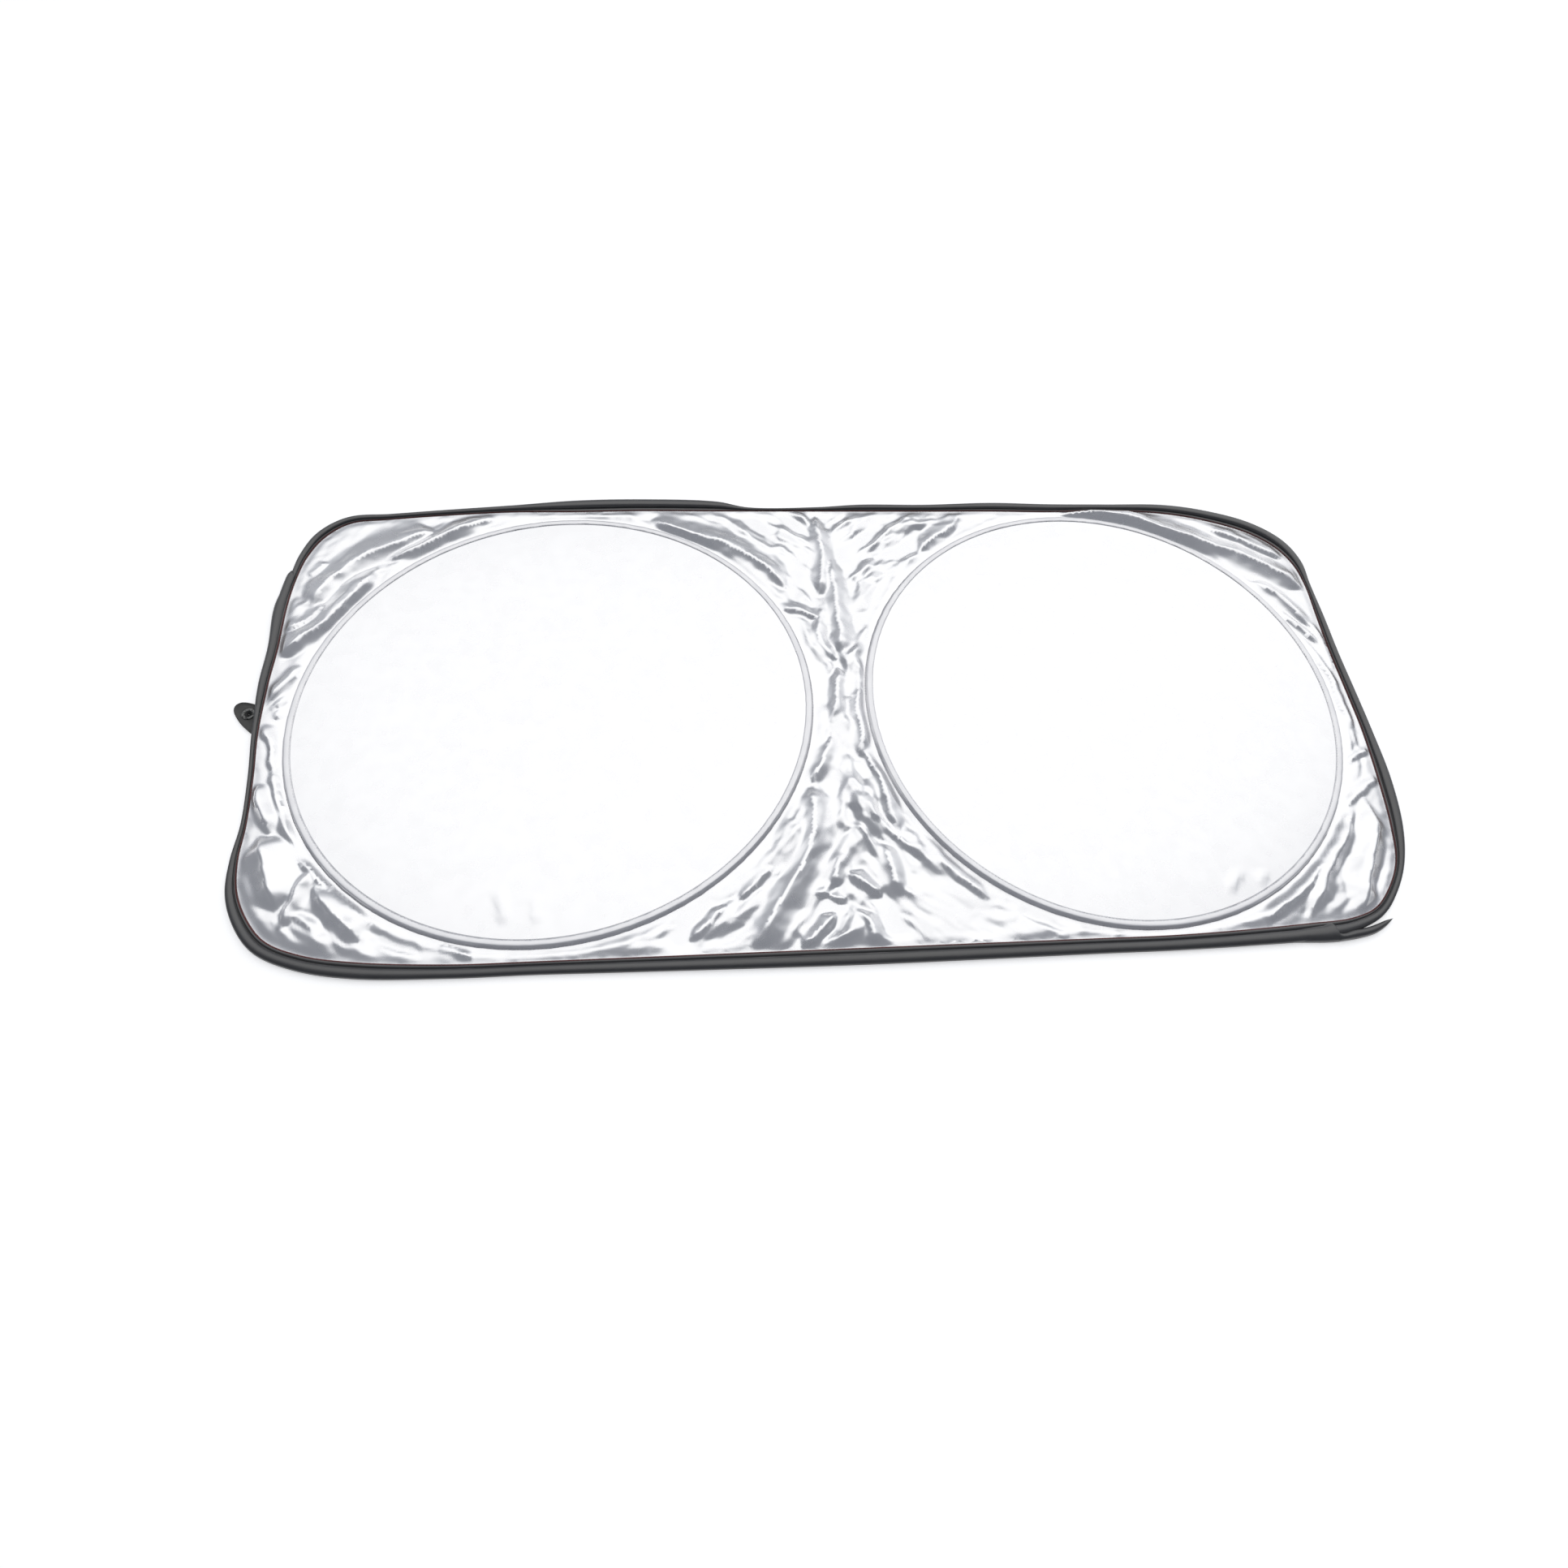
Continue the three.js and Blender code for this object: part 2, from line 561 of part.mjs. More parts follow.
const silverCloth = new THREE.MeshStandardMaterial({ color: 0xd4d5da, roughness: 0.35, metalness: 0.7 });
const casingTape = new THREE.MeshStandardMaterial({ color: 0xc9cace, roughness: 0.5, metalness: 0.4 });
const blackTape = new THREE.MeshStandardMaterial({ color: 0x26262a, roughness: 0.7, metalness: 0 });
const springSteel = new THREE.MeshStandardMaterial({ color: 0x8c8f94, roughness: 0.3, metalness: 1 });
const crimpMetal = new THREE.MeshStandardMaterial({ color: 0xb4b6ba, roughness: 0.4, metalness: 1 });
const tabRubber = new THREE.MeshStandardMaterial({ color: 0x2c2b2c, roughness: 0.6, metalness: 0 });
const eyeletPaint = new THREE.MeshStandardMaterial({ color: 0x4a4a48, roughness: 0.4, metalness: 0.6 });

function piece(name, geometry, material) {
  const mesh = new THREE.Mesh(geometry, material);
  mesh.name = name;
  return mesh;
}

const shade = new THREE.Group();
shade.add(piece("silver_panel", clothGeometry(), silverCloth));
shade.add(piece("edge_binding", bindingGeometry(), blackTape));
for (const [side, hoop] of [["left", leftHoop], ["right", rightHoop]]) {
  const wire = new THREE.TorusGeometry(hoopRadius, wireDiameter / 2, wireSides, hoopSegments);
  wire.translate(0, 0, wireHeight);
  shade.add(hoopPiece(hoop, wire, side + "_hoop_wire", springSteel));
  shade.add(ferrulePiece(hoop, side + "_hoop_ferrule", crimpMetal));
  shade.add(hoopPiece(hoop, casingGeometry(), side + "_hoop_casing", casingTape));
}
const tab = piece("side_tab", tabGeometry(), tabRubber);
tab.position.z = tabFloor;
shade.add(tab);
const eyelet = piece("tab_eyelet", eyeletGeometry(), eyeletPaint);
eyelet.position.set(eyeletX, eyeletY, 0);
shade.add(eyelet);

// The origin is under the middle of the whole shade, on the surface it lies on
const extent = new THREE.Box3().setFromObject(shade, true);
const middle = extent.getCenter(new THREE.Vector3());
shade.position.set(-middle.x, -middle.y, -extent.min.z);
const sunshade = new THREE.Group();
sunshade.add(shade);

export default sunshade;
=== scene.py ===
"""A twist-and-fold windscreen sunshade, laid out flat on a white floor. Metres, +Z up."""
from math import cos, pi, radians, sin

import bpy
import numpy as np
from mathutils import Matrix, Vector, geometry, noise
from mathutils.kdtree import KDTree


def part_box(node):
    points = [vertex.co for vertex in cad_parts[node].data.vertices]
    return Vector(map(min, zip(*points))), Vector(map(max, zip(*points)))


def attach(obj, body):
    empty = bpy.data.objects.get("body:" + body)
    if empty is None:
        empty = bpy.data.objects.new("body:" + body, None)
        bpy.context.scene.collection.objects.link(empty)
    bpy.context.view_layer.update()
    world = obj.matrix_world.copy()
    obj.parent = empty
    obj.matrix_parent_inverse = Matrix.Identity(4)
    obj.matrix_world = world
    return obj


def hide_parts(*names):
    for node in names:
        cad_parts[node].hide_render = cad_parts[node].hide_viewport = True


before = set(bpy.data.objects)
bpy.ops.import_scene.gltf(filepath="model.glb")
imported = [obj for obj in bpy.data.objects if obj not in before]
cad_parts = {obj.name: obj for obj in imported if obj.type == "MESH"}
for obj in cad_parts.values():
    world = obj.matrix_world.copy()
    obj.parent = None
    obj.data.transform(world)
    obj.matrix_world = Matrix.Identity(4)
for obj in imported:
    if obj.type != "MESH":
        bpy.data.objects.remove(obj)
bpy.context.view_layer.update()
MM = 0.001


# The whole shade is laid out from one point, half way between the two wire hoops. Both hoops lie in
# sewn casings, whose boxes give their middles.
def box_middle(node):
    low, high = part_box(node)
    return (low + high) / 2


left_middle = box_middle("left_hoop_casing")
right_middle = box_middle("right_hoop_casing")
shade_middle = np.array(((left_middle + right_middle) / 2).xy)
hoop_x = (right_middle.x - left_middle.x) / 2


# The camera stands on the near side and looks down on the shade at 62 degrees, as in the photograph.
camera_place = Vector((*(shade_middle + (-0.1473, -0.5605)), 0.8455))
camera_backward = Vector((-0.07581, -0.46117, 0.88407))
camera_up = Vector((0.02496, 0.88546, 0.46404))
camera_data = bpy.data.cameras.new("photo_camera")
camera_data.lens = 18.211
camera_data.sensor_width = 36
camera = bpy.data.objects.new("photo_camera", camera_data)
turn = Matrix((camera_up.cross(camera_backward), camera_up, camera_backward)).transposed()
camera.matrix_world = Matrix.Translation(camera_place) @ turn.to_4x4()
bpy.context.scene.collection.objects.link(camera)
bpy.context.scene.camera = camera
bpy.context.scene.view_settings.view_transform = "Standard"


class Value:
    """A number that varies over a surface. Arithmetic on it adds Math nodes."""

    def __init__(self, finish, socket):
        self.finish = finish
        self.socket = socket

    def math(self, operation, *values):
        return self.finish.node("ShaderNodeMath", {"operation": operation}, dict(enumerate(values)))

    def __add__(self, other):
        return self.math("ADD", self, other)

    def __radd__(self, other):
        return self.math("ADD", other, self)

    def __sub__(self, other):
        return self.math("SUBTRACT", self, other)

    def __rsub__(self, other):
        return self.math("SUBTRACT", other, self)

    def __mul__(self, other):
        return self.math("MULTIPLY", self, other)

    def __rmul__(self, other):
        return self.math("MULTIPLY", other, self)

    def __pow__(self, other):
        return self.math("POWER", self, other)

    def __truediv__(self, other):
        return self.math("DIVIDE", self, other)

    def clamped(self):
        return self.finish.node("ShaderNodeClamp", {}, {0: self})

    def between(self, low, high):
        """0 below low, 1 above high."""
        return self.finish.node("ShaderNodeMapRange", {"interpolation_type": "SMOOTHSTEP"},
                                {"Value": self, "From Min": low, "From Max": high})


class Finish:
    """One material, or the world's shader, made of nodes."""

    def __init__(self, name, owners=bpy.data.materials):
        self.material = owners.new(name)
        self.material.use_nodes = True
        self.tree = self.material.node_tree
        self.tree.nodes.clear()

    def node(self, kind, settings, inputs, output=0):
        made = self.tree.nodes.new(kind)
        for name, value in settings.items():
            setattr(made, name, value)
        for name, value in inputs.items():
            if isinstance(value, Value):
                self.tree.links.new(value.socket, made.inputs[name])
            else:
                made.inputs[name].default_value = value
        return Value(self, made.outputs[output]) if made.outputs else None

    def place(self):
        return self.node("ShaderNodeTexCoord", {}, {}, "Object")

    def part(self, vector, axis):
        return self.node("ShaderNodeSeparateXYZ", {}, {"Vector": vector}, axis)

    def rays(self, kind):
        """1 for rays of one kind, 0 for all others."""
        return self.node("ShaderNodeLightPath", {}, {}, f"Is {kind} Ray")

    def noise(self, scale, detail):
        return self.node("ShaderNodeTexNoise", {},
                         {"Vector": self.place(), "Scale": scale, "Detail": detail})

    def weave(self, scale, gap):
        """Threads that pass over and under each other, laid like bricks."""
        return self.node("ShaderNodeTexBrick", {"offset": 0.5},
                         {"Vector": self.place(), "Scale": scale, "Mortar Size": gap}, "Fac")

    def mixed(self, share, first, second):
        return self.node("ShaderNodeMix", {"data_type": "RGBA"},
                         {"Factor": share, 6: (*first, 1), 7: (*second, 1)}, 2)

    def bump(self, height, distance, strength):
        return self.node("ShaderNodeBump", {},
                         {"Height": height, "Distance": distance, "Strength": strength})

    def surface(self, **values):
        names = {name.replace("_", " "): value for name, value in values.items()}
        shader = self.node("ShaderNodeBsdfPrincipled", {}, names)
        self.node("ShaderNodeOutputMaterial", {}, {"Surface": shader})
        return self.material


# The floor is a plain white sheet of paper. It glows a little where the camera or a mirror sees it, so that
# it comes out white and the shade's shadow still shows on it.
floor_drop = 0.3 * MM
floor_span = 16
floor_glow = 0.5
bpy.ops.object.select_all(action="DESELECT")
bpy.ops.mesh.primitive_plane_add(size=floor_span, location=(0, 0, -floor_drop))
floor = bpy.context.object
floor.name = "floor"
paper = Finish("white_floor")
lit = paper.node("ShaderNodeBsdfDiffuse", {}, {"Color": (0.9, 0.9, 0.9, 1)})
glows_for = (paper.rays("Camera") + paper.rays("Glossy") + paper.rays("Transmission")).clamped()
glow = paper.node("ShaderNodeEmission", {}, {"Color": (1, 1, 1, 1), "Strength": glows_for * floor_glow})
both = paper.node("ShaderNodeAddShader", {}, {0: lit, 1: glow})
paper.node("ShaderNodeOutputMaterial", {}, {"Surface": both})
floor.data.materials.append(paper.material)


# The light is a wide soft panel overhead, beyond the shade. Flat cloth mirrors it and looks white. What is
# tilted towards the camera mirrors the dim side of the room and looks grey. A weak lamp gives the shadow.
panel_middle = (0.09, 0.44)
panel_reach = (0.57, 0.30)
panel_fade = (0.95, 1.8)
bright_level = 1.2
dim_level = 0.27
panel_tint = (1, 1, 1)
room_tint = (0.86, 0.9, 1.0)
horizon = (0.02, 0.10)
lamp_size = 1.6
lamp_watts = 12
lamp_place = Vector((1.5, 2.2, 2.0))
studio = Finish("studio", bpy.data.worlds)
bpy.context.scene.world = studio.material
direction = studio.node("ShaderNodeTexCoord", {}, {}, "Generated")
east, north, upward = (studio.part(direction, axis) for axis in "XYZ")
across = (east - panel_middle[0]) / panel_reach[0]
beyond = (north - panel_middle[1]) / panel_reach[1]
off_panel = ((across * across + beyond * beyond) ** 0.5).between(*panel_fade)
level = (1 - off_panel) * (bright_level - dim_level) + dim_level
low = 1 - upward.between(*horizon)
white = (studio.rays("Camera") + (studio.rays("Glossy") + studio.rays("Transmission")) * low).clamped()
strength = white + (1 - white) * level
tint = studio.mixed(off_panel * (1 - white), panel_tint, room_tint)
glow = studio.node("ShaderNodeBackground", {}, {"Color": tint, "Strength": strength})
studio.node("ShaderNodeOutputWorld", {}, {"Surface": glow})
lamp_data = bpy.data.lights.new("far_softbox", "AREA")
lamp_data.shape = "SQUARE"
lamp_data.size = lamp_size
lamp_data.energy = lamp_watts
lamp = bpy.data.objects.new("far_softbox", lamp_data)
lamp.location = lamp_place
lamp.rotation_euler = (-lamp_place).to_track_quat("-Z", "Y").to_euler()
lamp.visible_glossy = False
bpy.context.scene.collection.objects.link(lamp)


# The silver cloth is one sheet of coated nylon, cut to the outline of the shade and drawn tight over both
# hoops, which come out slightly oval. Outside them it's slack: it lies in folds and crumples between each
# casing and the tape round the edge.
hoop_radius = 311 * MM
hoop_oval = 5.5 * MM
hoop_long, hoop_short = hoop_radius + hoop_oval, hoop_radius - hoop_oval
hoop_turns = {-1: radians(19), 1: radians(54.5)}
casing_half = 5 * MM
cloth_top = 0.8 * MM
cloth_thickness = 0.3 * MM
top_line = hoop_radius + 20 * MM
bottom_line = -hoop_radius - 13.5 * MM
tape_width = 12 * MM
tape_cloth = 0.6 * MM

# The seam between cloth and tape. A row is a direction from the middle of the nearer hoop in degrees, how
# far the cloth reaches past the hoop there in millimetres, and the tape's width in shares of tape_width.
left_seam = [
    (75, 32, 1.75), (90, 18, 1.7), (105, 29, 1.0), (120, 60, 0.8), (129, 93, 0.8), (135, 122, 1.0),
    (140, 126, 1.1), (145, 117, 0.9), (150, 101, 0.75), (156, 81, 1.25), (165, 56, 1.0), (175, 42, 0.9),
    (185, 38, 0.6), (195, 41, 0.5), (205, 56, 0.5), (211, 75, 0.7), (216, 88, 1.0), (221, 94, 1.2),
    (226, 94, 1.3), (232, 80, 1.4), (240, 56, 1.5), (255, 24.5, 1.3), (270, 13.5, 1.25), (285, 25, 1.35),
]
right_seam = [
    (-105, 25, 1.5), (-90, 13.5, 1.5), (-75, 22, 1.6), (-62, 48, 1.7), (-55, 71, 1.25), (-50, 83, 0.95),
    (-45, 84, 0.8), (-39, 79, 0.8), (-32, 63, 1.2), (-22, 43, 1.35), (-10, 31, 1.05), (0, 28.5, 1.0),
    (10, 36, 0.95), (20, 58, 0.85), (28, 87, 0.65), (33, 103, 1.2), (38, 109, 1.6), (44, 103, 1.7),
    (52, 84, 1.6), (61, 62, 1.4), (75, 33, 1.0), (90, 19, 1.2), (105, 32, 1.3),
]
top_seam = [(0.46, 1.0), (0.18, 1.0), (0, 0.6), (-0.29, 0.55), (-0.42, 1.45)]
bottom_middle_share = 1.6
seam_steps = 12


def spline(points, closed, steps, power):
    """A Catmull-Rom curve with each span cut into steps: uniform at power 0, centripetal at power 0.5."""
    points = np.array(points, float)
    count = len(points)
    shares = np.arange(steps) / steps
    made = []
    for i in range(count if closed else count - 1):
        near = [(i + k) % count if closed else min(max(i + k, 0), count - 1) for k in (-1, 0, 1, 2)]
        p0, p1, p2, p3 = points[near]
        d0, d1, d2 = ((np.hypot(*(b - a)[:2]) or 1.0) ** power
                      for a, b in ((p0, p1), (p1, p2), (p2, p3)))
        start = ((p1 - p0) / d0 - (p2 - p0) / (d0 + d1) + (p2 - p1) / d1) * d1
        end = ((p2 - p1) / d1 - (p3 - p1) / (d1 + d2) + (p3 - p2) / d2) * d1
        made += [p1 + t * start + t**2 * (3 * (p2 - p1) - 2 * start - end)
                 + t**3 * (2 * (p1 - p2) + start + end) for t in shares]
    if not closed:
        made.append(points[-1])
    return np.array(made)


def unit(vectors):
    return vectors / np.linalg.norm(vectors, axis=1)[:, None]


def step_lengths(line):
    return np.linalg.norm(np.diff(line, axis=0), axis=1)


def seam_point(side, angle, beyond, share):
    reach = hoop_radius + beyond * MM
    return (side * hoop_x + reach * cos(radians(angle)), reach * sin(radians(angle)), share)


seam_points = [
    *(seam_point(-1, *row) for row in left_seam), (0, bottom_line, bottom_middle_share),
    *(seam_point(1, *row) for row in right_seam), *((x * hoop_x, top_line, share) for x, share in top_seam),
]
seam = spline(seam_points, True, seam_steps, 0.5)
seam_line = np.vstack([seam[:, :2], seam[:1, :2]])
seam_along = unit(np.roll(seam[:, :2], -1, 0) - np.roll(seam[:, :2], 1, 0))
seam_outward = np.stack([seam_along[:, 1], -seam_along[:, 0]], 1)

# The folds: height, steep run and gentle run in millimetres, then the crest in hoop radii from the middle
# of the shade. The steep face lies to the right of the crest's direction.
folds = [
    (9, 12, 24, [(-2.25, 0.24), (-2.14, 0.36), (-2.03, 0.53), (-1.94, 0.72)]),
    (8, 17, 24, [(-2.19, 0.47), (-2.08, 0.7), (-1.91, 0.84), (-1.72, 0.94)]),
    (5, 8, 14, [(-2.27, 0.37), (-2.18, 0.43), (-2.11, 0.55)]),
    (7, 11, 17, [(-1.93, 0.76), (-1.77, 0.84), (-1.66, 0.91), (-1.49, 1.02)]),
    (5, 8, 12, [(-2.25, 0.01), (-2.19, 0.12), (-2.13, 0.21)]),
    (6, 9, 14, [(-2.17, -0.2), (-2.12, -0.36), (-2.06, -0.49), (-1.99, -0.61)]),
    (6, 9, 14, [(-2.22, -0.33), (-2.17, -0.42), (-2.1, -0.55)]),
    (10, 20, 22, [(-2.14, -0.54), (-2.08, -0.68), (-2.01, -0.84)]),
    (6, 9, 12, [(-1.93, -0.66), (-1.97, -0.8), (-2.0, -0.9)]),
    (8, 12, 18, [(-1.92, -0.74), (-1.85, -0.83), (-1.78, -0.89), (-1.69, -0.96)]),
    (5, 8, 12, [(-2.0, -0.63), (-1.84, -0.78), (-1.69, -0.9)]),
    (3, 6, 8, [(-1.46, -0.97), (-1.34, -1.03)]),
    (8, 14, 22, [(-0.8, 1.01), (-0.6, 0.91), (-0.45, 0.84), (-0.32, 0.76), (-0.15, 0.57)]),
    (4, 7, 14, [(-0.25, 0.48), (-0.14, 0.47), (-0.05, 0.42), (0.02, 0.37)]),
    (8, 13, 16, [(-0.01, 1.05), (-0.01, 0.86), (-0.01, 0.69), (-0.04, 0.54)]),
    (9, 14, 16, [(0.03, 0.8), (0.04, 0.55), (0.04, 0.35), (0.06, 0.2)]),
    (6, 10, 12, [(-0.01, 0.53), (-0.05, 0.35), (-0.02, 0.24), (0.03, 0.19)]),
    (7, 12, 14, [(0.02, 0.17), (0.0, 0.03), (-0.04, -0.13)]),
    (7, 12, 12, [(0.07, 0.22), (0.12, 0.11), (0.08, -0.05), (0.09, -0.17), (0.06, -0.29)]),
    (6, 9, 14, [(0.44, 0.8), (0.5, 0.86), (0.6, 0.94), (0.69, 1.04)]),
    (5, 9, 10, [(-0.03, -0.15), (-0.08, -0.3), (-0.13, -0.39)]),
    (9, 16, 18, [(-0.15, -0.4), (-0.13, -0.52), (-0.19, -0.72), (-0.29, -0.88), (-0.4, -1.03)]),
    (7, 10, 12, [(0.09, -0.24), (0.13, -0.39), (0.16, -0.52), (0.18, -0.63)]),
    (7, 12, 12, [(0.1, -0.64), (0.14, -0.75), (0.16, -0.86)]),
    (7, 10, 10, [(-0.02, -0.75), (0.04, -0.8), (0.1, -0.86)]),
    (5, 7, 9, [(-0.05, -0.69), (-0.08, -0.81)]),
    (6, 9, 12, [(-0.23, -1.04), (-0.15, -0.98), (-0.08, -0.9)]),
    (6, 8, 12, [(0.0, -0.91), (0.03, -0.98), (0.04, -1.04)]),
    (4, 7, 10, [(-0.62, -1.0), (-0.54, -0.94), (-0.47, -0.86)]),
    (4, 6, 9, [(-0.43, -0.86), (-0.36, -0.79), (-0.3, -0.72)]),
    (4, 7, 10, [(0.29, -0.7), (0.37, -0.78), (0.49, -0.88)]),
    (10, 18, 22, [(1.15, 1.06), (1.45, 1.02), (1.62, 0.95), (1.84, 0.84), (2.06, 0.71), (2.24, 0.56)]),
    (6, 10, 14, [(1.86, 0.97), (2.05, 0.84), (2.2, 0.75)]),
    (6, 9, 12, [(2.0, 0.63), (2.11, 0.49), (2.2, 0.33)]),
    (4, 7, 8, [(2.15, 0.26), (2.16, 0.16), (2.17, 0.06), (2.16, -0.03), (2.17, -0.14), (2.19, -0.22)]),
    (8, 14, 16, [(1.87, -0.99), (1.93, -0.89), (2.0, -0.79), (2.06, -0.66), (2.09, -0.5)]),
    (7, 12, 14, [(1.66, -1.0), (1.75, -0.9), (1.8, -0.84), (1.86, -0.77), (1.94, -0.68), (2.02, -0.56)]),
    (6, 8, 12, [(1.49, -1.01), (1.57, -0.95), (1.72, -0.87), (1.87, -0.74)]),
    (3, 5, 8, [(-2.21, 0.65), (-2.16, 0.75)]),
    (3, 6, 8, [(-2.21, -0.06), (-2.18, 0.0), (-2.16, 0.11)]),
    (3, 7, 9, [(-1.98, -0.83), (-1.85, -0.92)]),
    (3, 6, 8, [(0.08, -0.55), (0.18, -0.63)]),
    (3, 6, 8, [(-0.16, -0.84), (-0.03, -0.87)]),
    (4, 6, 8, [(2.04, 0.45), (2.13, 0.35), (2.2, 0.24)]),
    (3, 6, 8, [(2.17, 0.43), (2.21, 0.3), (2.22, 0.19), (2.21, 0.1)]),
    (3, 6, 8, [(2.13, -0.06), (2.13, -0.16), (2.11, -0.27), (2.08, -0.34)]),
    (3, 5, 8, [(2.04, -0.42), (2.1, -0.34), (2.2, -0.3), (2.26, -0.31)]),
    (3, 5, 8, [(1.98, -0.56), (2.06, -0.51), (2.15, -0.45), (2.24, -0.42)]),
    (4, 5, 12, [(-2.27, -0.07), (-2.24, -0.115), (-2.19, -0.17), (-2.17, -0.24), (-2.15, -0.33)]),
    (4, 6, 9, [(-2.24, -0.02), (-2.14, 0.07), (-2.03, 0.19)]),
]
fold_scale = (1.1, 1.2, 1.5)

# Short creases that the stitches pull into the taut cloth at the near side of each hoop
drum_creases = [
    (1.7, 6, 9, [(-1.29, -0.77), (-1.26, -0.84), (-1.245, -0.92)]),
    (1.4, 6, 8, [(-1.15, -0.81), (-1.135, -0.92)]),
    (1.5, 6, 8, [(1.385, -0.9), (1.435, -0.84), (1.475, -0.81)]),
    (1.3, 5, 8, [(1.515, -0.87), (1.56, -0.815)]),
]


def crest_lines(rows, steps, scale):
    """Each row in metres: the crest as a line of points, then height, steep run and gentle run."""
    return [(spline(np.array(crest) * hoop_radius, False, steps, 0),
             *(share * size * MM for share, size in zip(scale, sizes))) for *sizes, crest in rows]


fold_lines = crest_lines(folds, 14, fold_scale)
drum_lines = crest_lines(drum_creases, 8, (1, 1, 1))

# The cloth beside a fold is drawn smooth, out to this share of the fold's own reach
calm_reach = 1.6
calm_lines = [(line, height, calm_reach * steep, calm_reach * gentle)
              for line, height, steep, gentle in fold_lines]


def smooth(share):
    share = np.clip(share, 0, 1)
    return share * share * (3 - 2 * share)


def batches(places, most=4000):
    return np.array_split(places, len(places) // most + 1)


def to_line(places, line):
    """Each place's distance from a line of points, its side and how far along it lies, as a share.

    The side is negative on the right of the line.
    """
    start, along = line[:-1], np.diff(line, axis=0)
    found = []
    for some in batches(places):
        offset = some[:, None] - start
        share = np.clip((offset * along).sum(2) / (along**2).sum(1), 0, 1)
        away = np.linalg.norm(offset - share[..., None] * along, axis=2)
        rows, nearest = np.arange(len(some)), away.argmin(1)
        near_offset, near_along = offset[rows, nearest], along[nearest]
        side = near_along[:, 0] * near_offset[:, 1] - near_along[:, 1] * near_offset[:, 0]
        along_share = (nearest + share[rows, nearest]) / len(start)
        found.append(np.stack([away[rows, nearest], side, along_share], 1))
    return np.vstack(found).T


def past_casing(places):
    """How far each place lies outside the casing of the nearer hoop."""
    side = np.where(places[:, 0] < 0, -1, 1)
    across = places[:, 0] - side * hoop_x
    direction = np.arctan2(places[:, 1], across)
    around = direction - np.where(side < 0, hoop_turns[-1], hoop_turns[1])
    reach = hoop_long * hoop_short / np.hypot(hoop_short * np.cos(around), hoop_long * np.sin(around))
    return np.hypot(across, places[:, 1]) - reach - casing_half


def hoop_ring(side, count):
    """Points evenly round one hoop's wire, and the outward direction at each."""
    around = np.arange(count) * 2 * pi / count
    ring = np.stack([hoop_long * np.cos(around), hoop_short * np.sin(around)], 1)
    outward = unit(np.stack([hoop_short * np.cos(around), hoop_long * np.sin(around)], 1))
    turn = hoop_turns[side]
    turned = np.array([[cos(turn), sin(turn)], [-sin(turn), cos(turn)]])
    return ring @ turned + (side * hoop_x, 0), outward @ turned


# The tab lies under the left edge and lifts it a little.
tab_reach = hoop_radius + 38 * MM
tab_direction = radians(0.5)
tab_root = -np.array([hoop_x + tab_reach * cos(tab_direction), tab_reach * sin(tab_direction)])
tab_below = 36 * MM
tab_lift = 2.3 * MM
tab_lift_fade = 60 * MM


def edge_lift(places):
    away = np.linalg.norm(places - tab_root, axis=1) - tab_below
    return tab_lift * (1 - smooth(away / tab_lift_fade))


# How long and how wide the bends in a crease are
bends = ((55 * MM, 5 * MM), (17 * MM, 2 * MM))


def wander(places):
    """A crooked shift of each place, so that the creases don't run smooth."""
    shift = np.zeros(places.shape)
    for size, reach in bends:
        for axis in (0, 1):
            shift[:, axis] += [reach * noise.noise(Vector((x / size, y / size, 7 * axis)))
                               for x, y in places]
    return shift


# A fold tapers over a share of its length at each end, and over no more than fold_end. Its section is the
# sharper the higher the power, and its gentle side is partly rounded.
fold_taper = 0.3
fold_end = 38 * MM
end_reach = 0.25
crest_power = 1.5
crest_round = 0.6


def fold_heights(places, lines):
    """The highest fold over each place: full along the crest, low and narrow at its ends."""
    highest = np.zeros(len(places))
    for line, height, steep, gentle in lines:
        reach = max(steep, gentle)
        near = ((places > line.min(0) - reach) & (places < line.max(0) + reach)).all(1)
        if not near.any():
            continue
        away, side, share = to_line(places[near], line)
        taper = smooth(np.minimum(share, 1 - share) / min(fold_taper, fold_end / step_lengths(line).sum()))
        run = np.where(side < 0, steep, gentle) * (end_reach + (1 - end_reach) * taper)
        fall = np.clip(1 - away / run, 0, 1)
        sharp = fall**crest_power
        lift = np.where(side < 0, sharp, crest_round * smooth(fall) + (1 - crest_round) * sharp)
        highest[near] = np.maximum(highest[near], height * taper * lift)
    return highest


# Crumples lie between the folds. Each set has a length along the casing, a width and a share of the height.
# They are higher in some patches than in others, and highest in the middle, where the hoops pull together.
crumple_height = 10.5 * MM
crumple_sets = ((84 * MM, 30 * MM, 1.0), (25 * MM, 13 * MM, 0.32))
set_spacing = 9
halves_blend = 60 * MM
patch_size = 110 * MM
patch_level = 0.5
patch_swing = 0.9
patch_range = (0.2, 1.5)
middle_size = 90 * MM
middle_swing = 0.75


def facets(x, y, seed):
    """Facets between sharp creases, as in crumpled foil: some creases stand up and some go down."""
    down, up = (noise.voronoi(Vector((x, y, seed + level)))[0][0] for level in (0.5, 40.5))
    return up**2 - down**2


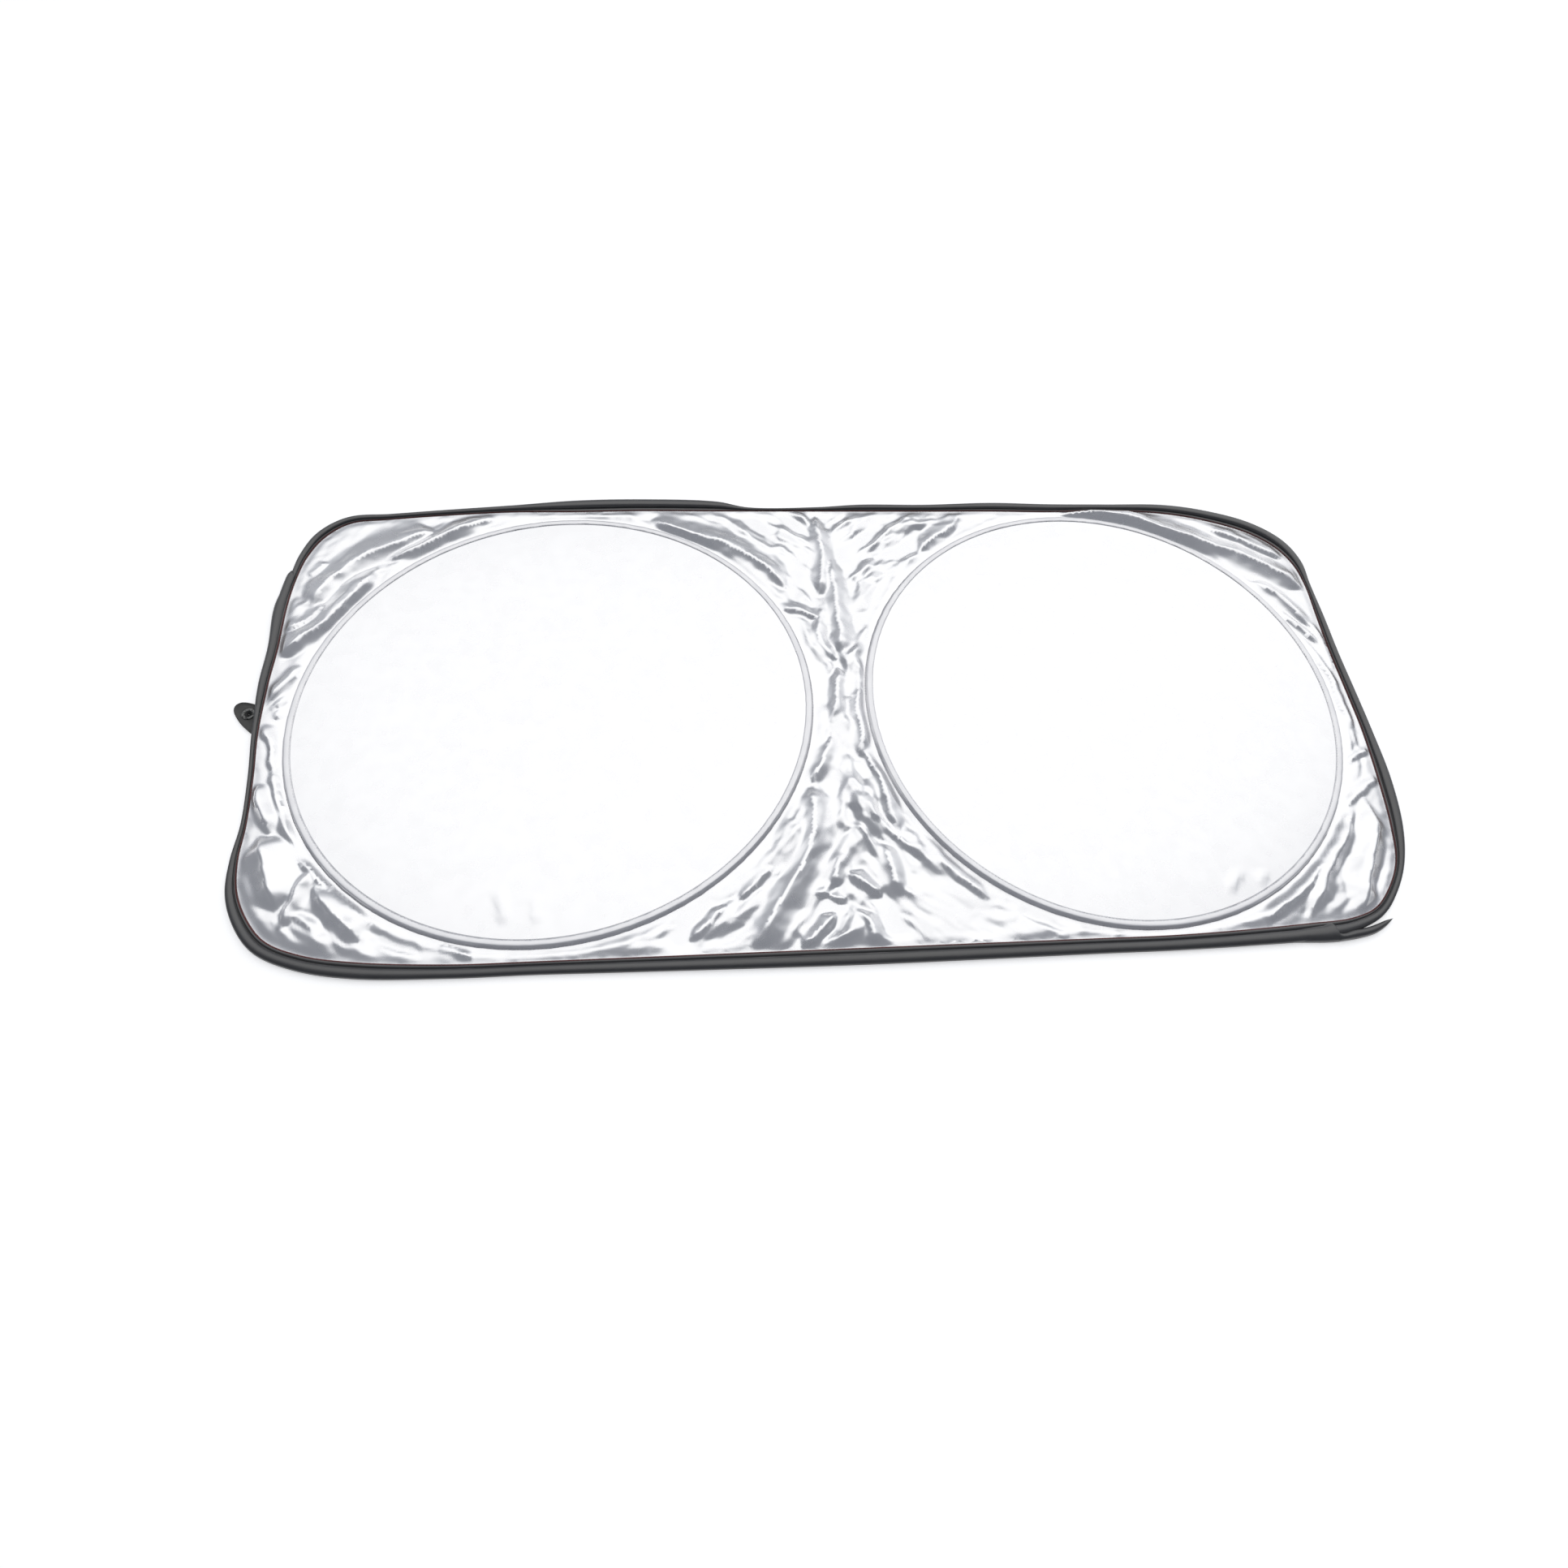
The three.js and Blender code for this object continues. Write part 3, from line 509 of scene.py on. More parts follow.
def crumples(places):
    """Sharp creases that run mostly along the casings, long ones over short ones."""
    heights = np.zeros(len(places))
    for side in (-1, 1):
        across = places[:, 0] - side * hoop_x
        out = np.hypot(across, places[:, 1])
        along = np.arctan2(places[:, 1], across) * hoop_radius
        share = smooth(0.5 + side * places[:, 0] / halves_blend)
        for k in np.nonzero(share > 0)[0]:
            creased = sum(part * facets(along[k] / length, out[k] / width, set_spacing * row + side)
                          for row, (length, width, part) in enumerate(crumple_sets))
            heights[k] += share[k] * creased
    patch = np.array([noise.noise(Vector((x / patch_size, y / patch_size, 3))) for x, y in places])
    middle = np.exp(-(places[:, 0] / middle_size) ** 2)
    return heights * np.clip(patch_level + patch_swing * patch + middle_swing * middle, *patch_range)


# Pleats are the small tucks along the tape, about one to each spacing. Some stretches have higher ones.
pleat_height = 1.6 * MM
pleat_spacing = 15 * MM
pleat_width = 0.55
pleat_length = 9 * MM
pleat_start = 3 * MM
stretch_length = 12 * pleat_spacing
stretch_level = 0.6
stretch_swing = 1.6
stretch_most = 1.4


def pleats(run, to_tape):
    """Small tucks that the stitches pull into the cloth, square to the tape."""
    heights = np.zeros(len(run))
    for k in np.nonzero(to_tape < 3 * pleat_length)[0]:
        away = noise.voronoi(Vector((run[k] / pleat_spacing, 0.5, 0.5)))[0][0]
        stretch = noise.noise(Vector((run[k] / stretch_length, 2.5, 0.5)))
        share = np.clip(stretch_level + stretch_swing * stretch, 0, stretch_most)
        heights[k] = max(0, 1 - away / pleat_width) * share
    return pleat_height * heights * np.exp(-to_tape / pleat_length) * smooth(to_tape / pleat_start)


# The cloth lies flat on a narrow strip beside each casing and rises from there into the slot of the tape.
# Folds and crumples fade out towards both. Inside a hoop the cloth is domed a little, like a drum.
casing_flat = 1 * MM
slot_gap = 0.3 * MM
slack_lift = 1.2 * MM
fold_fade = 10 * MM
crumple_fade = 17 * MM
calm_height = 5 * MM
calm_share = 0.75
drum_height = 4.0 * MM
drum_fade = 260 * MM
drum_edge = 7.2 * MM


def cloth_heights(places, past, to_tape, run):
    """Top of the cloth over its lowest place: taut in the hoops, folded outside, raised into the tape."""
    out = np.maximum(past - casing_flat, 0)
    rise = smooth(out / (out + to_tape + 1e-9)) * (edge_lift(places) + tape_cloth + slot_gap)
    near = np.minimum(out, to_tape)
    crooked = places + wander(places)
    folded = fold_heights(crooked, fold_lines)
    calm = smooth(fold_heights(crooked, calm_lines) / calm_height)
    crumpled = crumple_height * crumples(crooked) * (1 - calm_share * calm)
    slack = smooth(near / fold_fade) * (slack_lift + folded) + smooth(near / crumple_fade) * crumpled
    domed = drum_height * smooth(1 + past / drum_fade) + fold_heights(places, drum_lines)
    drum = domed * (past < -drum_edge)
    return np.maximum(rise + slack + drum + smooth(out / fold_fade) * pleats(run, to_tape), 0)


def inside(places, line):
    """Whether each place lies inside a closed line of points."""
    found = []
    for some in batches(places):
        x, y = some[:, 0, None], some[:, 1, None]
        (ax, ay), (bx, by) = line[:-1].T, line[1:].T
        with np.errstate(divide="ignore", invalid="ignore"):
            crosses = ((ay > y) != (by > y)) & (x < (bx - ax) * (y - ay) / (by - ay) + ax)
        found.append(crosses.sum(1) % 2 == 1)
    return np.concatenate(found)


# Where the cloth's points lie: close together on the slack cloth and along the crests, further apart in a
# band inside each hoop, and furthest in its middle. Rings of points follow both hoops.
fine_step = 3 * MM
fine_from = -4 * MM
near_step = 6 * MM
near_from = -13 * MM
middle_step = 16 * MM
middle_from = -70 * MM
crest_clear = 2 * MM
seam_clear = 1.6 * MM
row_share = 0.866
ring_points = 520
ring_reaches = (-6.2, -3.4, -1.2)


def lattice(step, keep):
    """Places on a triangular lattice over the shade, where keep says so of the distance past a casing."""
    low, high = seam_line.min(0), seam_line.max(0)
    rows = np.arange(low[1], high[1], step * row_share)
    places = np.array([(x + (i % 2) * step / 2, y) for i, y in enumerate(rows)
                       for x in np.arange(low[0], high[0], step)])
    places = places[keep(past_casing(places))]
    return places[inside(places, seam_line)]


def clear_of_seam(places):
    return places[to_line(places, seam_line)[0] > seam_clear]


def crest_places():
    """Places along the crests, shifted back by the wander that bends the folds."""
    crests = []
    for line, *_ in fold_lines:
        shares = np.linspace(0, 1, max(3, int(step_lengths(line).sum() / fine_step)))
        marks = np.linspace(0, 1, len(line))
        crests.append(np.stack([np.interp(shares, marks, line[:, axis]) for axis in (0, 1)], 1))
    crests = np.vstack(crests)
    crests -= wander(crests)
    return clear_of_seam(crests[(past_casing(crests) > crest_clear) & inside(crests, seam_line)])


def cloth_places():
    crests = crest_places()
    tree = KDTree(len(crests))
    for i, (x, y) in enumerate(crests):
        tree.insert((x, y, 0), i)
    tree.balance()
    fine = clear_of_seam(lattice(fine_step, lambda past: past > fine_from))
    fine = np.array([p for p in fine if tree.find((*p, 0))[2] > crest_clear])
    near = lattice(near_step, lambda past: (past <= near_from) & (past > middle_from))
    middle = lattice(middle_step, lambda past: past <= middle_from)
    hoop_rings = [hoop_ring(side, ring_points) for side in (-1, 1)]
    rings = [ring + outward * reach * MM for ring, outward in hoop_rings for reach in ring_reaches]
    return np.vstack([fine, crests, near, middle, *rings])


# How far the cloth reaches past the seam, into the tape
cloth_tuck = 4 * MM


def cloth_mesh():
    tuck = seam[:, :2] + seam_outward * cloth_tuck
    places = np.vstack([tuck, seam[:, :2], cloth_places()])
    count = len(tuck)
    rim = [(i, (i + 1) % count) for i in range(count)]
    loops = [*rim, *((a + count, b + count) for a, b in rim)]
    made = geometry.delaunay_2d_cdt([Vector(p) for p in places], loops, [list(range(count))], 1, 1e-7)
    found = np.array([tuple(p) for p in made[0]])
    past = past_casing(found)
    to_tape, _, share = to_line(found, seam_line)
    marks = np.concatenate([[0], step_lengths(seam_line).cumsum()])
    run = np.interp(share * len(seam), np.arange(len(marks)), marks)
    out = ~inside(found, seam_line)
    to_tape[out] = 0
    past[out] = np.maximum(past[out], casing_flat)
    heights = cloth_heights(found, past, to_tape, run)
    mesh = bpy.data.meshes.new("silver_cloth")
    points = np.column_stack([found + shade_middle, heights + cloth_top])
    mesh.from_pydata(points.tolist(), [], [list(face) for face in made[2]])
    return mesh


def add_piece(name, mesh, *finishes):
    piece = bpy.data.objects.new(name, mesh)
    bpy.context.scene.collection.objects.link(piece)
    for finish in finishes:
        mesh.materials.append(finish)
    mesh.polygons.foreach_set("use_smooth", [True] * len(mesh.polygons))
    return piece


def select_only(piece):
    bpy.ops.object.select_all(action="DESELECT")
    bpy.context.view_layer.objects.active = piece
    piece.select_set(True)


def apply_modifiers(piece):
    select_only(piece)
    for modifier in list(piece.modifiers):
        bpy.ops.object.modifier_apply(modifier=modifier.name)


silver = Finish("silver_coated_cloth")
worn = silver.noise(60, 3).between(0.35, 0.75)
silver_finish = silver.surface(
    Base_Color=silver.mixed(worn, (0.93, 0.93, 0.94), (0.915, 0.915, 0.925)),
    Metallic=0.88,
    Roughness=0.24 + silver.noise(30, 3) * 0.06,
    Normal=silver.bump(silver.weave(700, 0.02), 0.02 * MM, 0.08),
)
cloth = add_piece("silver_cloth", cloth_mesh(), silver_finish)
thicken = cloth.modifiers.new("thickness", "SOLIDIFY")
thicken.thickness = cloth_thickness
thicken.offset = -1
apply_modifiers(cloth)
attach(cloth, "root")
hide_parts("silver_panel")


# Each hoop is spring steel wire, its two ends joined by a crimped sleeve. Both keep the plain CAD shape,
# because they lie hidden in the casing.
wire = Finish("drawn_spring_wire")
wire_finish = wire.surface(
    Base_Color=wire.mixed(wire.noise(400, 3).between(0.3, 0.7), (0.50, 0.51, 0.53), (0.36, 0.36, 0.38)),
    Metallic=1.0,
    Roughness=0.28 + wire.noise(900, 2) * 0.15,
)
crimp = Finish("crimped_sleeve")
crimp_finish = crimp.surface(
    Base_Color=crimp.mixed(crimp.noise(300, 3).between(0.3, 0.7), (0.66, 0.67, 0.68), (0.5, 0.5, 0.52)),
    Metallic=1.0,
    Roughness=0.35 + crimp.noise(700, 2) * 0.2,
)
for side in ("left", "right"):
    for node, finish in ((side + "_hoop_wire", wire_finish), (side + "_hoop_ferrule", crimp_finish)):
        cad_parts[node].data.materials.clear()
        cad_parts[node].data.materials.append(finish)


# Each hoop lies in a casing: a strip of the same cloth laid over the wire and sewn down on both sides, so
# that it stands up as a round rib between two flat hems. The thread drawn tight puckers the hems.
rib_top = 5.2 * MM
rib_half = 2.95 * MM
casing_cloth = 0.4 * MM
casing_stations = 720
pucker_length = 9 * MM
pucker_sway = 0.5 * MM
pucker_rise = 0.2 * MM
hem_start = 3.5 * MM

# The outside of the strip from its outer edge over the rib to its inner edge, in millimetres: how far out
# of the wire's middle, and how high over the cloth
casing_face = [
    (5.0, 0.0), (5.0, 0.3), (4.0, 0.45), (3.55, 1.0), (3.3, 2.4), (3.0, 3.8), (2.55, 4.65), (1.9, 5.02),
    (0.8, 5.2), (-0.6, 5.2), (-2.0, 5.1), (-3.2, 4.92), (-4.2, 4.62), (-4.8, 4.32), (-5.0, 4.15),
    (-5.0, 4.05), (-2.75, 4.05),
]


def casing_sections(side):
    ring, outward = hoop_ring(side, casing_stations)
    ring += shade_middle
    tunnel_half, tunnel_top = rib_half - casing_cloth, rib_top - casing_cloth
    tunnel = [(-tunnel_half * cos(t), tunnel_top * sin(t)) for t in np.linspace(0.3, pi, 9)]
    profile = [*((out * MM, up * MM) for out, up in casing_face), *tunnel]
    pucker = np.array([noise.noise(Vector((*(point / pucker_length), side))) for point in ring])
    sections = np.zeros((casing_stations, len(profile), 3))
    for j, (out, up) in enumerate(profile):
        sway = pucker_sway * pucker * abs(out) / casing_half
        sections[:, j, :2] = ring + outward * (out + sway)[:, None]
        sections[:, j, 2] = cloth_top + up + (pucker_rise * pucker if abs(out) < hem_start else 0)
    return sections


def skin(name, sections, closed=True):
    """A skin through equal closed sections in a row, which is closed or has flat ends."""
    count, corners, _ = sections.shape
    faces = [(i * corners + j, (i + 1) % count * corners + j, (i + 1) % count * corners + (j + 1) % corners,
              i * corners + (j + 1) % corners)
             for i in range(count if closed else count - 1) for j in range(corners)]
    if not closed:
        faces += [tuple(range(corners)), tuple(reversed(range((count - 1) * corners, count * corners)))]
    mesh = bpy.data.meshes.new(name)
    mesh.from_pydata(sections.reshape(-1, 3).tolist(), [], faces)
    return mesh


# One stitch is a short thread with six sides. A ring of its points has a place along it, a thickness and a
# height, in shares of its length and radius: both ends are thin and dip into the cloth.
stitch_sides = 6
stitch_rings = [(-0.5, 0.45, -1.2), (-0.3, 1.0, 0.0), (0.3, 1.0, 0.0), (0.5, 0.45, -1.2)]


def stitch_points(length, radius):
    corners = np.arange(stitch_sides) * 2 * pi / stitch_sides
    return np.array([(along * length, radius * thick * cos(c), radius * (thick * sin(c) + dip))
                     for along, thick, dip in stitch_rings for c in corners])


def stitch_faces(first):
    """The faces of the stitch whose points start at this one."""
    sides = [(i + j, i + stitch_sides + j, i + stitch_sides + (j + 1) % stitch_sides,
              i + (j + 1) % stitch_sides)
             for i in range(first, first + 3 * stitch_sides, stitch_sides) for j in range(stitch_sides)]
    last = first + 3 * stitch_sides
    ends = [tuple(range(first, first + stitch_sides)), tuple(reversed(range(last, last + stitch_sides)))]
    return [*sides, *ends]


def add_stitches(name, line, heights, finish, pitch, length, radius):
    """A piece with stitches end to end along a closed line of points."""
    closed = np.column_stack([np.vstack([line, line[:1]]), np.append(heights, heights[0])])
    marks = np.concatenate([[0], step_lengths(closed[:, :2]).cumsum()])
    count = int(marks[-1] / pitch)
    spots = np.arange(count) * marks[-1] / count

    def at(offset):
        where = (spots + offset) % marks[-1]
        return np.stack([np.interp(where, marks, closed[:, axis]) for axis in (0, 1, 2)], 1)

    forward = unit(at(length / 2) - at(-length / 2))
    across = unit(np.stack([-forward[:, 1], forward[:, 0], np.zeros(count)], 1))
    axes = np.stack([forward, across, np.cross(forward, across)], 1)
    shape = stitch_points(length, radius)
    points = at(0)[:, None] + np.einsum("pk,nkc->npc", shape, axes)
    faces = [face for k in range(count) for face in stitch_faces(k * len(shape))]
    mesh = bpy.data.meshes.new(name)
    mesh.from_pydata(points.reshape(-1, 3).tolist(), [], faces)
    return add_piece(name, mesh, finish)


casing = Finish("casing_cloth")
casing_finish = casing.surface(
    Base_Color=casing.mixed(casing.noise(40, 2).between(0.3, 0.7), (0.86, 0.86, 0.875), (0.81, 0.81, 0.83)),
    Metallic=0.8,
    Roughness=0.36,
    Normal=casing.bump(casing.noise(260, 2), 0.15 * MM, 0.4),
)
grey_thread = Finish("grey_thread")
grey_thread_finish = grey_thread.surface(
    Base_Color=grey_thread.mixed(grey_thread.noise(900, 2), (0.42, 0.42, 0.44), (0.6, 0.6, 0.61)),
    Roughness=0.6,
)
pale_thread = Finish("pale_thread")
pale_thread_finish = pale_thread.surface(
    Base_Color=pale_thread.mixed(pale_thread.noise(900, 2), (0.66, 0.66, 0.68), (0.76, 0.76, 0.77)),
    Roughness=0.6,
)
casing_stitch = {"pitch": 4.2 * MM, "length": 3 * MM, "radius": 0.22 * MM}
casing_rows = (("outer", 4.6 * MM, 0.5 * MM, grey_thread_finish),
               ("inner", -4.2 * MM, 4.6 * MM, pale_thread_finish))
for side, name in ((-1, "left"), (1, "right")):
    piece = add_piece(name + "_casing", skin(name + "_casing", casing_sections(side)), casing_finish)
    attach(piece, "root")
    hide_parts(name + "_hoop_casing")
    ring, outward = hoop_ring(side, casing_stations)
    ring += shade_middle
    for row, reach, up, finish in casing_rows:
        thread = add_stitches(name + "_casing_" + row + "_thread", ring + outward * reach,
                              np.full(casing_stations, cloth_top + up), finish, **casing_stitch)
        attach(thread, "root")


# The black woven tape is folded round the raw edge of the cloth and sewn through. It puffs up where it's
# wide and lies thin where it's drawn tight, and the row of stitches draws it down near its inner edge.
tape_puff = 2.6 * MM
tape_slot = 1.4 * MM
tape_wall = 0.9 * MM
crease_share = 0.3
slot_depth = seam[:, 2].min() * tape_width - tape_wall


def tape_profile(width, share, floor_height):
    """One section of the tape, as how far out of the seam and how high.

    It runs along the floor and back over a roll, the crease of the stitches and a flat hem to the slot.
    """
    slot_floor = floor_height + tape_cloth
    slot_roof = slot_floor + tape_slot
    top = slot_roof + tape_cloth
    crown = top + tape_puff * share
    middle = (floor_height + crown) / 2
    crease = crease_share * width
    roll = [(crease + (width - crease) * (0.5 - 0.5 * cos(t)), top + (crown - top) * sin(t) ** 0.8)
            for t in np.linspace(0.25, 2.6, 8)]
    return [
        (0, floor_height), (0.5 * width, floor_height), (0.8 * width, floor_height),
        (0.95 * width, floor_height + 0.35 * (middle - floor_height)), (width, middle - 0.3 * MM),
        *reversed(roll), (crease + 0.35 * MM, top - 0.1 * MM), (crease, top - 0.55 * MM),
        (crease - 0.4 * MM, top - 0.1 * MM), (0.6 * crease, top + 0.4 * MM * share),
        (0.35 * crease, top + 0.3 * MM * share), (1.4 * MM, top + 0.1 * MM), (0, top - 0.3 * MM),
        (0, slot_roof), (slot_depth, slot_roof), (slot_depth, slot_floor), (0, slot_floor),
    ]


def tape_sections():
    lifts = edge_lift(seam[:, :2])
    sections = []
    for (x, y, share), out, lift in zip(seam, seam_outward, lifts):
        profile = tape_profile(tape_width * share, share, lift)
        sections.append([(*((x, y) + out * reach + shade_middle), up) for reach, up in profile])
    return np.array(sections)


tape = Finish("black_woven_tape")
tape_finish = tape.surface(
    Base_Color=tape.mixed(tape.noise(60, 3).between(0.3, 0.7),
                          (0.012, 0.012, 0.013), (0.007, 0.007, 0.008)),
    Roughness=0.3,
    IOR=1.6,
    Specular_IOR_Level=1.0,
    Normal=tape.bump(tape.weave(420, 0.08), 0.1 * MM, 0.25),
)
red_thread = Finish("dark_red_thread")
red_thread_finish = red_thread.surface(
    Base_Color=red_thread.mixed(red_thread.noise(900, 2), (0.10, 0.028, 0.028), (0.17, 0.06, 0.055)),
    Roughness=0.6,
)

# The tape's inner edge is dark red: the faces that start at these two corners of its section
hem_corner, lip_corner = 18, 19
sections = tape_sections()
binding = add_piece("edge_tape", skin("edge_tape", sections), tape_finish, red_thread_finish)
for polygon in binding.data.polygons:
    if polygon.index % sections.shape[1] in (hem_corner, lip_corner):
        polygon.material_index = 1
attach(binding, "root")
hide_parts("edge_binding")
tape_stitch = {"pitch": 4.2 * MM, "length": 3.2 * MM, "radius": 0.3 * MM}
stitch_line = 0.55 * sections[:, hem_corner, :2] + 0.45 * sections[:, lip_corner, :2]
stitch_heights = sections[:, lip_corner, 2] + 0.25 * MM
thread = add_stitches("edge_tape_thread", stitch_line, stitch_heights, red_thread_finish, **tape_stitch)
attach(thread, "root")


# The tape is sewn on in lengths that lap over each other. The length along the bottom ends in a cut point
# that stands off the lower right corner, and the one down the left side starts with a folded end.
lap_dome = [(0.0, 0.15), (0.02, 0.55), (0.1, 0.8), (0.28, 0.95), (0.5, 1.0), (0.72, 0.93), (0.9, 0.72),
            (0.98, 0.42), (1.0, 0.15), (0.85, 0.0), (0.5, 0.0), (0.15, 0.0)]


def lapped(name, inner, outer, crowns, floors):
    """A closed length of tape between two lines of points, domed between them."""
    sections = [[(*(a + (b - a) * share + shade_middle), floor + (crown - floor) * up)
                 for share, up in lap_dome] for a, b, crown, floor in zip(inner, outer, crowns, floors)]
    piece = add_piece(name, skin(name, np.array(sections), closed=False), tape_finish)
    select_only(piece)
    bpy.ops.object.mode_set(mode="EDIT")
    bpy.ops.mesh.select_all(action="SELECT")
    bpy.ops.mesh.normals_make_consistent(inside=False)
    bpy.ops.object.mode_set(mode="OBJECT")
    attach(piece, "root")


# The lower right end in millimetres: outer edge, inner edge, crown and underside
end_rows = [
    (455, -337.5, 455, -328, 4.6, 0.6), (490, -338.9, 489, -325.5, 6.0, 0.5),
    (515, -340.0, 514, -322.6, 7.4, 0.5), (530, -340.5, 530, -321.0, 7.8, 0.5),
    (543, -340.2, 543.8, -320.2, 7.8, 0.5), (545.5, -340.0, 545, -328.6, 7.6, 0.5),
    (565, -338.0, 565, -327.4, 7.2, 0.5), (588.9, -333.3, 586, -324.4, 6.6, 0.6),
    (601.5, -328.0, 599.6, -320.6, 5.6, 0.8), (612, -321.6, 610, -317.4, 4.6, 1.2),
    (619.6, -315.4, 619.2, -315.7, 3.6, 1.8),
]
end_line = spline(end_rows, False, 5, 0.5) * MM
lapped("tape_end", end_line[:, 2:4], end_line[:, :2], end_line[:, 4], end_line[:, 5])

# The folded end starts at the upper left corner and runs to the tab, on top of the first length. It is wide
# over its first stretch and rounded at its end. At the tab it sinks into the length below.
start_wide = 1.1
start_narrow = 0.7
wide_stretch = 50 * MM
narrowing = 30 * MM
end_round = 9 * MM
blunt_share = 0.04
lap_inner = 2.5 * MM
lap_outer = 0.5 * MM
lap_floor = 0.5 * MM
lap_rise = 1.1 * MM
sink_depth = 2.2 * MM
sink_length = 25 * MM
start_run = slice(7 * seam_steps + 9, 12 * seam_steps - 3)
start_seam, start_outward = seam[start_run, :2], seam_outward[start_run]
start_from = np.linalg.norm(start_seam - start_seam[0], axis=1)
share_here = start_wide - (start_wide - start_narrow) * smooth((start_from - wide_stretch) / narrowing)
start_width = tape_width * np.maximum(seam[start_run, 2], share_here)
rounded = np.sqrt(1 - (1 - np.clip(start_from / end_round + blunt_share, 0, 1)) ** 2)
start_middle = 0.5 * (start_width + lap_outer + lap_inner)
start_half = 0.5 * (start_width + lap_outer - lap_inner) * rounded
start_lift = edge_lift(start_seam)
start_crown = start_lift + 2 * tape_cloth + tape_slot + tape_puff * seam[start_run, 2] + lap_rise
start_crown -= sink_depth * smooth(1 - (start_from[-1] - start_from) / sink_length)
lapped("tape_start", start_seam + start_outward * (start_middle - start_half)[:, None],
       start_seam + start_outward * (start_middle + start_half)[:, None], start_crown,
       start_lift + lap_floor)


# A tab of thin black rubber is sewn behind the left edge. It ends in a rounded tip, and has a raised rim
# all round and a hole for the eyelet.
tab_low, tab_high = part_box("side_tab")
tab_base, tab_top = tab_low.z, tab_high.z
tab_hole = 5.2 * MM
tab_rim = 1.3 * MM
rim_rise = 0.3 * MM
web_drop = 0.1 * MM
tab_stations = 96
eye_middle = np.array(box_middle("tab_eyelet").xy)
tab_points = [
    (-736, 0.5), (-735.2, 5.8), (-730.5, 9.6), (-723.6, 9.8), (-708, 5.6), (-699, 3.5),
    (-695, -10), (-696.5, -34.5), (-703.4, -37), (-714, -29.5), (-725, -18.5), (-734, -5.5),
]
tab_outline = spline(tab_points, True, 10, 0.5) * MM + shade_middle


def outline_from_eye(direction):
    """How far the tab's outline lies from the eyelet's middle in one direction."""
    offset = np.vstack([tab_outline, tab_outline[:1]]) - eye_middle
    angles = np.unwrap(np.arctan2(offset[:, 1], offset[:, 0]))
    wanted = angles[0] + (direction - angles[0]) % (2 * pi * np.sign(angles[-1] - angles[0]))
    order = np.argsort(angles)
    return np.interp(wanted, angles[order], np.linalg.norm(offset, axis=1)[order])


def tab_section(direction):
    """The tab's section in one direction from the eyelet: underside, rounded edge, raised rim, thin web."""
    reach = outline_from_eye(direction)
    web = tab_top - web_drop
    profile = [
        (tab_hole, tab_base), (reach - rim_rise, tab_base), (reach, tab_base + rim_rise), (reach, tab_top),
        (reach - rim_rise, tab_top + rim_rise), (reach - tab_rim, tab_top + rim_rise),
        (reach - tab_rim - rim_rise - web_drop, web), (0.5 * (reach + tab_hole), web), (tab_hole, web),
    ]
    heading = np.array([cos(direction), sin(direction)])
    return [(*(eye_middle + heading * out), up) for out, up in profile]


rubber = Finish("black_rubber")
rubber_finish = rubber.surface(
    Base_Color=rubber.mixed(rubber.noise(120, 3).between(0.3, 0.7),
                            (0.058, 0.057, 0.054), (0.075, 0.074, 0.07)),
    Roughness=0.5 + rubber.noise(300, 2) * 0.15,
    Normal=rubber.bump(rubber.noise(1500, 2), 0.05 * MM, 0.4),
)
tab_sections = [tab_section(direction) for direction in np.arange(tab_stations) * 2 * pi / tab_stations]
tab = add_piece("rubber_tab", skin("rubber_tab", np.array(tab_sections)), rubber_finish)
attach(tab, "root")
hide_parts("side_tab")


